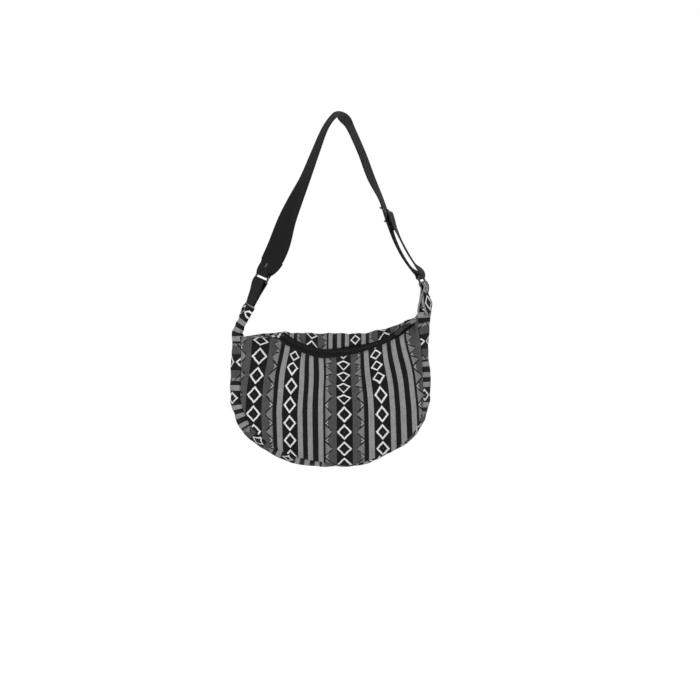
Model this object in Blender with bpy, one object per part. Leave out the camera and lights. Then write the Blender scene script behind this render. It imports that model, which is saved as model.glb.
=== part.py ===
"""Soft half-moon crossbody bag on an adjustable webbing strap, hanging from the strap's top.

The frame is +Z up, the bag's front faces -Y, and the origin is the underside of the strap's
highest point, where a hook or a shoulder carries it. All lengths are in metres.
"""
import math

import bpy
import numpy as np

MM = 0.001
GAP = 0.3 * MM

# The bag's body. Heights are below the origin, side places are from the origin.
BAG_CENTRE_X = -11.2 * MM
BAG_WIDTH = 280 * MM
LEFT_SIDE_X = BAG_CENTRE_X - BAG_WIDTH / 2
RIGHT_SIDE_X = BAG_CENTRE_X + BAG_WIDTH / 2
LEFT_CORNER_Z = -310.8 * MM
RIGHT_CORNER_Z = -282 * MM
BAG_HEIGHT = 210.8 * MM
BOTTOM_Z = RIGHT_CORNER_Z - BAG_HEIGHT
SIDE_TURN_Z = BOTTOM_Z + 100.8 * MM
CORNER_HALF_DEPTH = 20 * MM
BOTTOM_HALF_DEPTH = 38 * MM
SIDE_BULGE = 15.4 * MM
RIGHT_CORNER_INSET = 4 * MM
BOTTOM_BULGE = 7 * MM
FRONT_BULGE = 23 * MM
BACK_BULGE = 22 * MM
RIDGE_BACK = 20 * MM
RIDGE_PLACE = 0.13
RIDGE_RISE_POWER = 5
CORNER_FOLD = 3.2 * MM
CORNER_FOLD_AWAY = 45 * MM
CORNER_FOLD_SPREAD = 30 * MM
CORNER_FOLDS = 7
TOP_FOLD = 2.2 * MM
TOP_FOLD_ASIDE = 10 * MM
TOP_FOLD_BELOW = 26 * MM
TOP_FOLD_SPREAD = 20 * MM
TOP_FOLD_STEP = 4.6 * MM

# Cloth.
CLOTH = 1.4 * MM
LINING = 0.5 * MM
LINING_SPACE = 1.0 * MM
PANEL_LINING_LESS_ROWS = 2
PANEL_LINING_LESS_COLUMNS = 1
GUSSET_LINING_LESS_ROWS = 1
GUSSET_LINING_LESS_COLUMNS = 2

# The zip lies on an arc through its two ends and its lowest point.
ZIP_LEFT_FROM_SIDE = 72.8 * MM
ZIP_RIGHT_FROM_SIDE = 28 * MM
ZIP_LOW_FROM_MIDDLE = -7 * MM
ZIP_LEFT = (LEFT_SIDE_X + ZIP_LEFT_FROM_SIDE, 14 * MM, -308.7 * MM)
ZIP_LOW = (BAG_CENTRE_X + ZIP_LOW_FROM_MIDDLE, -26 * MM, -332.5 * MM)
ZIP_RIGHT = (RIGHT_SIDE_X - ZIP_RIGHT_FROM_SIDE, -4 * MM, -291.9 * MM)
ZIP_HALF_WIDTH = 8 * MM
TAPE_SEAM_SPACE = 1.6 * MM
TAPE = 0.8 * MM
COIL_RADIUS = 0.8 * MM
COIL_SPREAD = 1.3 * MM
STOP_LENGTH = 3 * MM
STOP_HEIGHT = 1.6 * MM
SLIDER_LENGTH = 9 * MM
SLIDER_WIDTH = 7.5 * MM
SLIDER_PLATE = 1.0 * MM
SLIDER_POST = 0.4 * MM
SLIDER_FROM_END = 8.6 * MM
BRIDGE_INSIDE = 2.1 * MM
BRIDGE_BAR = 0.8 * MM
BRIDGE_WIDTH = 1.6 * MM
PULL_LENGTH = 24 * MM
PULL_WIDTH = 6.4 * MM
PULL_THICK = 1.2 * MM
PULL_WINDOW = 5 * MM
PULL_WALL = 1.5 * MM

# Webbing, rings and adjuster.
WEB_WIDTH = 38 * MM
WEB = 1.5 * MM
RING_WIRE = 1.5 * MM
RING_CLEAR_WIDTH = 40 * MM
RING_CLEAR_HEIGHT = 7 * MM
RING_SLACK = 0.6 * MM
RING_CORNER = 2.2 * MM
TAIL_LENGTH = 26 * MM
ADJUSTER_LENGTH = 22 * MM
ADJUSTER_BAR = 2.1 * MM
ADJUSTER_RAIL = 2.2 * MM
LEFT_RING_FROM_SIDE = 44.8 * MM
LEFT_RING = (LEFT_SIDE_X + LEFT_RING_FROM_SIDE, -227.5 * MM)
LEFT_RING_LEAN = math.radians(25.6)
LEFT_RING_TURN = math.radians(26)
RIGHT_RING_FROM_SIDE = 11.4 * MM
RIGHT_RING = (RIGHT_SIDE_X - RIGHT_RING_FROM_SIDE, -231.5 * MM)
RIGHT_RING_LEAN = math.radians(-22)
RIGHT_RING_TURN = math.radians(12)

# The strap's route: how far it lies aside from the straight line between its top and the ring,
# its height and its turn from edge-on.
LEFT_ARM = (
    (2.2 * MM, -207.2 * MM, 50),
    (3.0 * MM, -184 * MM, 54),
    (-1.9 * MM, -148.4 * MM, 43),
    (-3.6 * MM, -119 * MM, 34),
    (-4.4 * MM, -88.2 * MM, 24),
    (-7.2 * MM, -53.9 * MM, 19),
    (-9.4 * MM, -21 * MM, 15),
    (-6.2 * MM, -4.0 * MM, 15),
)
STRAP_TOP = (0 * MM, WEB / 2, 19)
RIGHT_ARM = (
    (6.8 * MM, -5.6 * MM, 25),
    (8.4 * MM, -19.6 * MM, 18),
    (6.3 * MM, -53.9 * MM, 17),
    (1.7 * MM, -88.2 * MM, 17),
)
ADJUSTER_TOP_ASIDE = 0.4 * MM
ADJUSTER_TOP_Z = -119 * MM
ADJUSTER_FOOT_ASIDE = -9.2 * MM
ADJUSTER_FOOT_Z = -173.6 * MM
ADJUSTER_PLACE = 21 * MM
LOWER_RIGHT_ARM = (
    (-9.8 * MM, -196 * MM, 8),
    (-7.0 * MM, -213.5 * MM, 5),
)
ADJUSTER_TURN = 11
RETURN_TURN = 3
RETURN_BOW = 2.8 * MM

# Tabs: distances in from the bag's side, heights, turns and crowns from the bag's corners up.
LEFT_TAB_ROUTE = (
    (1.0 * MM, -303 * MM, 2, 0.9),
    (7.2 * MM, -293 * MM, 5, 0.6),
    (16.9 * MM, -280 * MM, 12, 0.25),
    (28.0 * MM, -266 * MM, 18, 0.0),
)
RIGHT_TAB_ROUTE = (
    (4.0 * MM, -274 * MM, 12, 0.75),
    (5.2 * MM, -264 * MM, 19, 0.35),
    (7.2 * MM, -254 * MM, 15, 0.1),
)
TAB_TUCK = 12 * MM
TAB_SPACE = 0.9 * MM
FACING_CLEAR = 1.2 * MM
WEB_TUCK = 14 * MM
TAB_WIDTH = 38 * MM
TAB_BASE_WIDTH = 31 * MM
SLEEVE_WIDTH = 42.4 * MM

# Mesh divisions.
PANEL_COLUMNS = 24
PANEL_ROWS = 12
BACK_ROWS = 14
GUSSET_ROWS = 8
SIDE_STEPS = 6
TAB_COLUMNS = 4
TAB_STEPS = 3
STRAP_COLUMNS = 2
STRAP_STEPS = 4
ZIP_STEPS = 24
TOP_SETTLE_STEPS = 24
FACING_STEPS = 5
COIL_SIDES = 6


def clear_scene():
    for item in list(bpy.data.objects):
        bpy.data.objects.remove(item, do_unlink=True)


def material(name, colour, roughness, metallic=0.0):
    made = bpy.data.materials.get(name)
    if made is None:
        made = bpy.data.materials.new(name)
        made.use_nodes = True
        shader = made.node_tree.nodes["Principled BSDF"]
        shader.inputs["Base Color"].default_value = (*colour, 1.0)
        shader.inputs["Roughness"].default_value = roughness
        shader.inputs["Metallic"].default_value = metallic
    return made


def woven():
    return material("woven_cotton", (0.12, 0.12, 0.12), 0.9)


def lining_cloth():
    return material("lining_cloth", (0.03, 0.03, 0.03), 0.7)


def webbing():
    return material("black_webbing", (0.012, 0.012, 0.013), 0.8)


def zip_cloth():
    return material("zip_tape", (0.01, 0.01, 0.01), 0.85)


def dark_metal():
    return material("dark_metal", (0.03, 0.03, 0.032), 0.35, 1.0)


def black_plastic():
    return material("black_plastic", (0.012, 0.012, 0.012), 0.4)


def add_mesh(name, points, faces, look):
    """One object from points and faces, its faces turned outward."""
    mesh = bpy.data.meshes.new(name)
    mesh.from_pydata([tuple(float(v) for v in point) for point in points], [], faces)
    if signed_volume(points, faces) < 0:
        mesh.flip_normals()
    mesh.materials.append(look)
    mesh.shade_smooth()
    mesh.set_sharp_from_angle(angle=math.radians(50))
    item = bpy.data.objects.new(name, mesh)
    bpy.context.scene.collection.objects.link(item)
    return item


def signed_volume(points, faces):
    pts = np.asarray(points, dtype=float)
    total = 0.0
    for face in faces:
        first = pts[face[0]]
        for second, third in zip(face[1:-1], face[2:]):
            total += np.dot(first, np.cross(pts[second], pts[third]))
    return total


def unit(vectors):
    vectors = np.asarray(vectors, dtype=float)
    return vectors / np.linalg.norm(vectors, axis=-1, keepdims=True)


def grid_normals(grid):
    """Unit normals of a grid of points, one for each point."""
    return unit(np.cross(np.gradient(grid, axis=0), np.gradient(grid, axis=1)))


def shell(name, top, bottom, look):
    """A closed sheet between two grids of the same shape."""
    rows, columns = top.shape[:2]
    points = np.concatenate([top.reshape(-1, 3), bottom.reshape(-1, 3)])
    under = rows * columns

    def at(i, j):
        return i * columns + j

    faces = []
    for i in range(rows - 1):
        for j in range(columns - 1):
            ring = (at(i, j), at(i + 1, j), at(i + 1, j + 1), at(i, j + 1))
            faces.append(ring)
            faces.append(tuple(under + k for k in reversed(ring)))
    border = [at(i, 0) for i in range(rows)]
    border += [at(rows - 1, j) for j in range(1, columns)]
    border += [at(i, columns - 1) for i in range(rows - 2, -1, -1)]
    border += [at(0, j) for j in range(columns - 2, 0, -1)]
    for here, after in zip(border, border[1:] + border[:1]):
        faces.append((after, here, under + here, under + after))
    return add_mesh(name, points, faces, look)


def sleeve(name, outer, inner, look):
    """A closed tube wall between two stacks of closed loops, open at both ends."""
    stations, count = outer.shape[:2]
    points = np.concatenate([outer.reshape(-1, 3), inner.reshape(-1, 3)])
    under = stations * count
    faces = []
    for i in range(stations - 1):
        for j in range(count):
            k = (j + 1) % count
            ring = (i * count + j, i * count + k, (i + 1) * count + k, (i + 1) * count + j)
            faces.append(ring)
            faces.append(tuple(under + v for v in reversed(ring)))
    for i, turned in ((0, True), (stations - 1, False)):
        for j in range(count):
            k = (j + 1) % count
            ring = (i * count + j, i * count + k, under + i * count + k, under + i * count + j)
            faces.append(tuple(reversed(ring)) if turned else ring)
    return add_mesh(name, points, faces, look)


def loop_tube(name, centres, radius, look, sides=8):
    """A closed ring of round wire along a closed list of centres."""
    centres = np.asarray(centres)
    ahead = unit(np.roll(centres, -1, axis=0) - np.roll(centres, 1, axis=0))
    across = unit(np.cross(centres[4] - centres[0], centres[8] - centres[0]))
    outward = np.cross(ahead, across)
    points = []
    for centre, side in zip(centres, outward):
        for k in range(sides):
            turn = 2 * math.pi * k / sides
            points.append(centre + radius * (math.cos(turn) * side + math.sin(turn) * across))
    faces = []
    for i in range(len(centres)):
        m = (i + 1) % len(centres)
        for j in range(sides):
            k = (j + 1) % sides
            faces.append((i * sides + j, i * sides + k, m * sides + k, m * sides + j))
    return add_mesh(name, points, faces, look)


def block(name, centre, axes, size, look):
    """A box with its centre, its three unit axes and its size along each."""
    points = []
    for a in (-0.5, 0.5):
        for b in (-0.5, 0.5):
            for c in (-0.5, 0.5):
                offset = a * size[0] * axes[0] + b * size[1] * axes[1] + c * size[2] * axes[2]
                points.append(np.asarray(centre) + offset)
    faces = [(0, 1, 3, 2), (4, 6, 7, 5), (0, 4, 5, 1), (2, 3, 7, 6), (0, 2, 6, 4), (1, 5, 7, 3)]
    return add_mesh(name, points, faces, look)


def prism(name, outline, depth, origin, axes, look):
    """An outline in the first two axes, extruded by depth to both sides along the third."""
    points = []
    for side in (-0.5, 0.5):
        for a, b in outline:
            points.append(origin + a * axes[0] + b * axes[1] + side * depth * axes[2])
    count = len(outline)
    faces = [tuple(reversed(range(count))), tuple(range(count, 2 * count))]
    for j in range(count):
        k = (j + 1) % count
        faces.append((j, k, count + k, count + j))
    return add_mesh(name, points, faces, look)


def fuse(base, others):
    """Unions the other objects into the base by modifiers, and hides them."""
    for other in others:
        join = base.modifiers.new("join_" + other.name, "BOOLEAN")
        join.operation = "UNION"
        join.solver = "EXACT"
        join.object = other
        other.hide_render = True
        other.display_type = "WIRE"
    return base


def smooth_route(points, steps):
    """A Catmull-Rom curve through points of any number of values, steps to a span."""
    pts = np.asarray(points, dtype=float)
    ends = np.concatenate([[2 * pts[0] - pts[1]], pts, [2 * pts[-1] - pts[-2]]])
    made = []
    for i in range(1, len(ends) - 2):
        before, here, there, beyond = ends[i - 1], ends[i], ends[i + 1], ends[i + 2]
        for k in range(steps):
            t = k / steps
            made.append(0.5 * (2 * here + (there - before) * t
                               + (2 * before - 5 * here + 4 * there - beyond) * t ** 2
                               + (3 * here - before - 3 * there + beyond) * t ** 3))
    made.append(pts[-1])
    return np.array(made)


def ease(value):
    value = np.clip(value, 0.0, 1.0)
    return value * value * (3 - 2 * value)


class Zip:
    """The arc that the zip lies on, and places along it."""

    def __init__(self):
        left, low, right = (np.array(p) for p in (ZIP_LEFT, ZIP_LOW, ZIP_RIGHT))
        first, second = left - right, low - right
        normal = np.cross(first, second)
        toward = np.dot(first, first) * second - np.dot(second, second) * first
        self.centre = np.cross(toward, normal) / (2 * np.dot(normal, normal)) + right
        self.radius = np.linalg.norm(self.centre - left)
        self.normal = unit(normal)
        if self.normal[2] < 0:
            self.normal = -self.normal
        self.start = (left - self.centre) / self.radius
        self.side = np.cross(self.normal, self.start)
        end = (right - self.centre) / self.radius
        self.sweep = math.atan2(np.dot(end, self.side), np.dot(end, self.start)) % (2 * math.pi)

    def radial(self, share):
        turn = share * self.sweep
        return math.cos(turn) * self.start + math.sin(turn) * self.side

    def ahead(self, share):
        """Unit direction along the arc toward its right end."""
        return np.cross(self.normal, self.radial(share))

    def at(self, share, out=0.0, up=0.0):
        return self.centre + (self.radius + out) * self.radial(share) + up * self.normal

    def share_of(self, length):
        return length / (self.radius * self.sweep)


def seam_half_width():
    return BAG_WIDTH / 2 - SIDE_BULGE


def side_line(sign, front, steps):
    """Seam down one side: the corner first, the side's turn last."""
    centre = BAG_CENTRE_X
    corner_z = LEFT_CORNER_Z if sign < 0 else RIGHT_CORNER_Z
    inset = 0.0 if sign < 0 else RIGHT_CORNER_INSET
    t = np.linspace(0, 1, steps + 1)
    z = corner_z + (SIDE_TURN_Z - corner_z) * t
    x = centre + sign * (seam_half_width() - inset * (1 - ease(t)))
    half = half_depth(z, corner_z)
    y = -half if front else half
    return np.stack([x * np.ones_like(z), y, z], axis=-1)


def half_depth(z, corner_z):
    """Half of the gusset's width at a height; it stays narrow where a tab is tucked in."""
    top = corner_z - TAB_TUCK
    share = ease((top - z) / (top - BOTTOM_Z))
    return CORNER_HALF_DEPTH + (BOTTOM_HALF_DEPTH - CORNER_HALF_DEPTH) * share


def bottom_line(front, steps):
    """Seam along the bottom, from the left side's turn to the right side's."""
    turn = np.linspace(math.pi, 2 * math.pi, steps + 1)
    drop = SIDE_TURN_Z - BOTTOM_Z - BOTTOM_BULGE
    x = BAG_CENTRE_X + seam_half_width() * np.cos(turn)
    z = SIDE_TURN_Z + drop * np.sin(turn)
    share = np.linspace(0, 1, steps + 1)
    half = half_depth(z, LEFT_CORNER_Z + (RIGHT_CORNER_Z - LEFT_CORNER_Z) * share)
    return np.stack([x, -half if front else half, z], axis=-1)


def top_line(zip_arc, front, steps):
    """A panel's top edge: corner, zip end, along the zip, zip end, corner."""
    left = side_line(-1, front, 1)[0]
    right = side_line(1, front, 1)[0]
    out = ZIP_HALF_WIDTH if front else -ZIP_HALF_WIDTH
    first = zip_arc.at(0, out)
    last = zip_arc.at(1, out)
    lead = max(1, round(steps * abs(first[0] - left[0]) / abs(right[0] - left[0])))
    tail = max(1, round(steps * abs(right[0] - last[0]) / abs(right[0] - left[0])))
    points = [left + (first - left) * k / lead for k in range(lead)]
    middle = steps - lead - tail
    points += [zip_arc.at(k / middle, out) for k in range(middle + 1)]
    points += [last + (right - last) * k / tail for k in range(1, tail + 1)]
    return np.array(points)


def eased(line, rounds):
    """A line with its corners rounded and its ends kept."""
    made = line.copy()
    for _ in range(rounds):
        made[1:-1] = 0.25 * made[:-2] + 0.5 * made[1:-1] + 0.25 * made[2:]
    return made


def coons(top, bottom, left, right):
    """A patch between four edges; top and bottom run left to right, the sides run down."""
    across = np.linspace(0, 1, len(top))[None, :, None]
    down = np.linspace(0, 1, len(left))[:, None, None]
    settled = top[None] + (eased(top, TOP_SETTLE_STEPS) - top)[None] * ease(down * 3)
    rails = (1 - down) * settled + down * bottom[None]
    sides = (1 - across) * left[:, None] + across * right[:, None]
    corners = ((1 - down) * ((1 - across) * top[0] + across * top[-1])
               + down * ((1 - across) * bottom[0] + across * bottom[-1]))
    return rails + sides - corners


def pillow(rows, columns):
    """0 at a patch's edges and 1 over its middle, steep at the edges."""
    down = np.sin(math.pi * np.linspace(0, 1, rows + 1)) ** 0.75
    across = np.sin(math.pi * np.linspace(0, 1, columns + 1)) ** 0.65
    return down[:, None] * across[None, :]


def fold_pattern(grid, cover):
    """Soft folds: gathers that run to the right corner, and creases under the zip's left end."""
    x, z = grid[..., 0], grid[..., 2]
    right = np.array([BAG_CENTRE_X + seam_half_width(), 0, RIGHT_CORNER_Z])
    reach = np.hypot(x - right[0], z - right[2])
    around = np.arctan2(z - right[2], x - right[0])
    away = (reach - CORNER_FOLD_AWAY) / CORNER_FOLD_SPREAD
    gathers = np.sin(CORNER_FOLDS * around) * np.exp(-away ** 2)
    under = np.hypot((x - ZIP_LEFT[0] - TOP_FOLD_ASIDE) / 1.8, z - ZIP_LEFT[2] + TOP_FOLD_BELOW)
    creases = np.sin((z + 0.25 * x) / TOP_FOLD_STEP) * np.exp(-(under / TOP_FOLD_SPREAD) ** 2)
    return cover * (CORNER_FOLD * gathers + TOP_FOLD * creases)


def front_surface(zip_arc):
    left = side_line(-1, True, PANEL_ROWS)
    right = side_line(1, True, PANEL_ROWS)
    top = top_line(zip_arc, True, PANEL_COLUMNS)
    grid = coons(top, bottom_line(True, PANEL_COLUMNS), left, right)
    cover = pillow(PANEL_ROWS, PANEL_COLUMNS)
    grid[..., 1] -= FRONT_BULGE * cover + fold_pattern(grid, cover)
    return grid


def back_surface(zip_arc):
    left = side_line(-1, False, BACK_ROWS)
    right = side_line(1, False, BACK_ROWS)
    top = top_line(zip_arc, False, PANEL_COLUMNS)
    grid = coons(top, bottom_line(False, PANEL_COLUMNS), left, right)
    down = np.linspace(0, 1, BACK_ROWS + 1) / RIDGE_PLACE
    hump = (down * np.exp(1 - down))[:, None]
    share = np.linspace(0, 1, PANEL_COLUMNS + 1)
    ridge = LEFT_CORNER_Z + (RIGHT_CORNER_Z - LEFT_CORNER_Z) * share ** RIDGE_RISE_POWER
    fall = RIDGE_PLACE * (ridge - BOTTOM_Z) * 0.8
    lift = np.sin(math.pi * share) ** 0.4 * (ridge - top[:, 2] + fall)
    grid[..., 2] += lift[None, :] * hump
    grid[..., 1] += RIDGE_BACK * hump * np.sin(math.pi * share)[None, :] ** 0.8
    grid[..., 1] += BACK_BULGE * pillow(BACK_ROWS, PANEL_COLUMNS)
    return grid


def gusset_surface():
    """The band round sides and bottom, from the left corner down, along and up."""
    lines = []
    for front in (True, False):
        left = side_line(-1, front, SIDE_STEPS)
        bottom = bottom_line(front, PANEL_COLUMNS)
        right = side_line(1, front, SIDE_STEPS)
        lines.append(np.concatenate([left[:-1], bottom, right[::-1][1:]]))
    front, back = lines
    ahead = np.gradient(front[:, [0, 2]], axis=0)
    outward = unit(np.stack([ahead[:, 1], -ahead[:, 0]], axis=-1))
    if outward[0, 0] > 0:
        outward = -outward
    low = np.clip((SIDE_TURN_Z - front[:, 2]) / (SIDE_TURN_Z - BOTTOM_Z - BOTTOM_BULGE), 0, 1)
    bulge = SIDE_BULGE + (BOTTOM_BULGE - SIDE_BULGE) * low ** 2
    rim = 1.25 * (CLOTH + GAP)
    width = back[:, 1] - front[:, 1]
    rows = []
    for k in range(GUSSET_ROWS + 1):
        share = k / GUSSET_ROWS
        y = front[:, 1] + rim + (width - 2 * rim) * share
        lift = bulge * np.sin(math.pi * (y - front[:, 1]) / width)
        rows.append(np.stack([front[:, 0] + lift * outward[:, 0], y,
                              front[:, 2] + lift * outward[:, 1]], axis=-1))
    return np.array(rows)


def facing_surface(zip_arc, sign):
    """The cloth between a tab and the zip's end; its outer end follows the gusset's bulge."""
    front = top_line(zip_arc, True, PANEL_COLUMNS)
    back = top_line(zip_arc, False, PANEL_COLUMNS)
    pick = 0 if sign < 0 else -1
    share = 0 if sign < 0 else 1
    near = np.array([front[pick], zip_arc.at(share, ZIP_HALF_WIDTH)])
    far = np.array([back[pick], zip_arc.at(share, -ZIP_HALF_WIDTH)])
    near, far = smooth_pair(near, far, FACING_STEPS)
    inside = tab_inside(sign)
    rows = []
    span = far - near
    rim = (2 * CLOTH + 2 * GAP) / np.linalg.norm(span, axis=1, keepdims=True)
    for k in range(GUSSET_ROWS + 1):
        across = rim + (1 - 2 * rim) * k / GUSSET_ROWS
        line = near + span * across
        bulge = np.cos(math.pi / 2 * (2 * k / GUSSET_ROWS - 1)) * inside
        fade = (1 - np.linspace(0, 1, len(line))) ** 2
        line[:, 0] += sign * bulge * fade
        line[:, 2] -= 1.2 * MM
        rows.append(line)
    return np.array(rows)


def smooth_pair(near, far, steps):
    """Two edges cut into steps, stopping short of the zip's end."""
    short = CLOTH + 2 * GAP
    made = []
    for pair in (near, far):
        length = np.linalg.norm(pair[1] - pair[0])
        t = np.linspace(0, 1 - short / length, steps + 1)[:, None]
        made.append(pair[0] + (pair[1] - pair[0]) * t)
    return made


def tab_inside(sign):
    """How far the facing reaches past the seam, clear of the tab's inner edge."""
    thick = 2 * tab_half_thickness() if sign < 0 else 2 * CLOTH + GAP
    place, drop, along, lift = section(1.0, TAB_BASE_WIDTH, 1.0)
    depth = CLOTH + TAB_SPACE + thick
    share = (place - along * depth) / CORNER_HALF_DEPTH
    return (SIDE_BULGE - drop - lift * depth) / math.cos(math.pi / 2 * share) - FACING_CLEAR


def tab_half_thickness():
    """Half of the left tab: two layers of webbing inside two of cloth."""
    return WEB + 2 * GAP + CLOTH


def cloth_sheet(name, surface, outward, look, top=0.0, thick=CLOTH, inset=None):
    """A sheet whose outer face lies top below the surface, on the side away from outward."""
    normals = grid_normals(surface)
    if np.sum(normals * outward(surface)) < 0:
        normals = -normals
    upper = surface - normals * top
    lower = surface - normals * (top + thick)
    if inset:
        upper, lower = trimmed(upper, inset), trimmed(lower, inset)
    return shell(name, upper, lower, look)


def trimmed(grid, inset):
    """The grid without some of its outer rows and columns, so its facets stay parallel."""
    rows, columns = inset
    return grid[rows:-rows, columns:-columns]


def from_middle(surface):
    middle = np.array([BAG_CENTRE_X, 0.0, (SIDE_TURN_Z + BOTTOM_Z) / 2])
    return surface - middle


def build_body(zip_arc):
    front, back, gusset = front_surface(zip_arc), back_surface(zip_arc), gusset_surface()
    cloth_sheet("front_panel", front, from_middle, woven())
    cloth_sheet("back_panel", back, from_middle, woven())
    cloth_sheet("gusset", gusset, from_middle, woven())
    under = CLOTH + LINING_SPACE
    panel_inset = (PANEL_LINING_LESS_ROWS, PANEL_LINING_LESS_COLUMNS)
    gusset_inset = (GUSSET_LINING_LESS_ROWS, GUSSET_LINING_LESS_COLUMNS)
    for name, grid, inset in (("lining_front", front, panel_inset),
                              ("lining_back", back, panel_inset),
                              ("lining_gusset", gusset, gusset_inset)):
        cloth_sheet(name, grid, from_middle, lining_cloth(), under, LINING, inset)
    for name, sign in (("top_facing_left", -1), ("top_facing_right", 1)):
        cloth_sheet(name, facing_surface(zip_arc, sign), lambda s: np.array([0, 0, 1.0]) + 0 * s,
                    woven())


def arc_grid(zip_arc, inner, outer, up, start, stop, steps):
    shares = np.linspace(start, stop, steps + 1)
    return np.array([[zip_arc.at(s, out, up) for out in (inner, outer)] for s in shares])


def build_zip(zip_arc):
    """Two tapes with a coil on each, and a stop at both ends."""
    edge = ZIP_HALF_WIDTH - TAPE_SEAM_SPACE
    coil_out = COIL_SPREAD + COIL_RADIUS
    for name, sign in (("zip_tape_front", 1), ("zip_tape_rear", -1)):
        inner = sign * (COIL_SPREAD - COIL_RADIUS)
        top = arc_grid(zip_arc, inner, sign * edge, -GAP, 0, 1, ZIP_STEPS)
        low = arc_grid(zip_arc, inner, sign * edge, -GAP - TAPE, 0, 1, ZIP_STEPS)
        shell(name, top, low, zip_cloth())
    margin = zip_arc.share_of(STOP_LENGTH + 2 * GAP)
    for name, sign in (("zip_coil_front", 1), ("zip_coil_rear", -1)):
        shares = np.linspace(margin, 1 - margin, ZIP_STEPS + 1)
        top = []
        for s in shares:
            ring = []
            for k in range(COIL_SIDES):
                turn = math.pi * (2 * k + 1) / COIL_SIDES
                ring.append(zip_arc.at(s, sign * COIL_SPREAD + COIL_RADIUS * math.cos(turn),
                                       COIL_RADIUS * (1 + math.sin(turn))))
            top.append(ring)
        rod(name, np.array(top), zip_cloth())
    for name, share in (("zip_stop_left", 0.0), ("zip_stop_right", 1.0)):
        inward = zip_arc.share_of(STOP_LENGTH / 2 + GAP) * (1 if share == 0 else -1)
        place = share + inward
        axes = (zip_arc.ahead(place), zip_arc.radial(place), zip_arc.normal)
        block(name, zip_arc.at(place, 0, STOP_HEIGHT / 2), axes,
              (STOP_LENGTH, 2 * coil_out, STOP_HEIGHT), dark_metal())


def rod(name, rings, look):
    """A solid rod through a stack of rings, with flat ends."""
    stations, count = rings.shape[:2]
    faces = [tuple(reversed(range(count)))]
    for i in range(stations - 1):
        for j in range(count):
            k = (j + 1) % count
            faces.append((i * count + j, i * count + k, (i + 1) * count + k, (i + 1) * count + j))
    faces.append(tuple(range((stations - 1) * count, stations * count)))
    return add_mesh(name, rings.reshape(-1, 3), faces, look)


def slider_share(zip_arc):
    return 1 - zip_arc.share_of(SLIDER_FROM_END)


def bridge_top():
    return 2 * COIL_RADIUS + GAP + SLIDER_PLATE


def build_slider(zip_arc):
    """Plates over and under the coil, a thin post between them and the pull's bridge."""
    share = slider_share(zip_arc)
    axes = (zip_arc.ahead(share), zip_arc.radial(share), zip_arc.normal)
    look = dark_metal()
    over = 2 * COIL_RADIUS + GAP
    beneath = -GAP - TAPE - GAP
    plate = (SLIDER_LENGTH, SLIDER_WIDTH, SLIDER_PLATE)
    top = block("zip_slider", zip_arc.at(share, 0, over + SLIDER_PLATE / 2), axes, plate, look)
    low = block("slider_low_plate", zip_arc.at(share, 0, beneath - SLIDER_PLATE / 2), axes, plate,
                look)
    tall = over - beneath + SLIDER_PLATE
    post = block("slider_post", zip_arc.at(share, 0, (over + beneath) / 2), axes,
                 (SLIDER_LENGTH * 0.55, SLIDER_POST, tall), look)
    base = bridge_top()
    half = SLIDER_LENGTH / 2 - 0.6 * MM
    high = BRIDGE_INSIDE + BRIDGE_BAR
    sink = 0.3 * MM
    outline = [(-half, -sink), (-half, high), (half, high), (half, -sink), (half - BRIDGE_BAR, -sink),
               (half - BRIDGE_BAR, BRIDGE_INSIDE), (-half + BRIDGE_BAR, BRIDGE_INSIDE),
               (-half + BRIDGE_BAR, -sink)]
    bridge = prism("slider_bridge", outline, BRIDGE_WIDTH, zip_arc.at(share, 0, base),
                   (axes[0], axes[2], axes[1]), look)
    fuse(top, [low, post, bridge])
    build_pull(zip_arc, share, axes)


def build_pull(zip_arc, share, axes):
    """A flat tab whose end bar turns under the slider's bridge; it lies back along the zip."""
    height = bridge_top() + PULL_THICK / 2 + GAP
    centre = zip_arc.at(share, 0, height)
    back, side = -axes[0], axes[1]
    look = dark_metal()
    inner = PULL_WIDTH / 2 - PULL_WALL
    bar = PULL_THICK / 2
    half = PULL_WIDTH / 2
    window = bar + PULL_WINDOW
    outline = [(-bar, -half), (PULL_LENGTH - half, -half), (PULL_LENGTH, -half * 0.5),
               (PULL_LENGTH, half * 0.5), (PULL_LENGTH - half, half), (-bar, half)]
    body = prism("zip_pull", outline, PULL_THICK, centre, (back, side, axes[2]), look)
    cutter = block("pull_window", centre + back * (bar + window) / 2, (back, side, axes[2]),
                   (PULL_WINDOW, 2 * inner, PULL_THICK * 3), look)
    cut = body.modifiers.new("window", "BOOLEAN")
    cut.operation = "DIFFERENCE"
    cut.solver = "EXACT"
    cut.object = cutter
    cutter.hide_render = True
    cutter.display_type = "WIRE"


def ring_axes(lean, turn):
    """A ring's up direction, its face normal and the direction of its bars."""
    up = np.array([math.sin(lean), 0.0, math.cos(lean)])
    outward = np.array([-math.cos(lean), 0.0, math.sin(lean)])
    if lean < 0:
        outward = -outward
    bar = np.array([0.0, -math.cos(turn), 0.0]) - math.sin(turn) * outward
    face = math.cos(turn) * outward + np.array([0.0, -math.sin(turn), 0.0])
    return up, face, bar


def build_ring(name, place, lean, turn):
    """A rectangular ring of round wire with rounded corners."""
    up, face, bar = ring_axes(lean, turn)
    centre = np.array([place[0], 0.0, place[1]])
    half_w = RING_CLEAR_WIDTH / 2 + RING_WIRE
    half_h = RING_CLEAR_HEIGHT / 2 + RING_WIRE
    centres = []
    for a, b, start in ((1, 1, 0), (-1, 1, 90), (-1, -1, 180), (1, -1, 270)):
        for k in range(4):
            turn_here = math.radians(start + 30 * k)
            across = a * (half_w - RING_CORNER) + RING_CORNER * math.cos(turn_here)
            high = b * (half_h - RING_CORNER) + RING_CORNER * math.sin(turn_here)
            centres.append(centre + across * bar + high * up)
    return loop_tube(name, centres, RING_WIRE, dark_metal())


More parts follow.
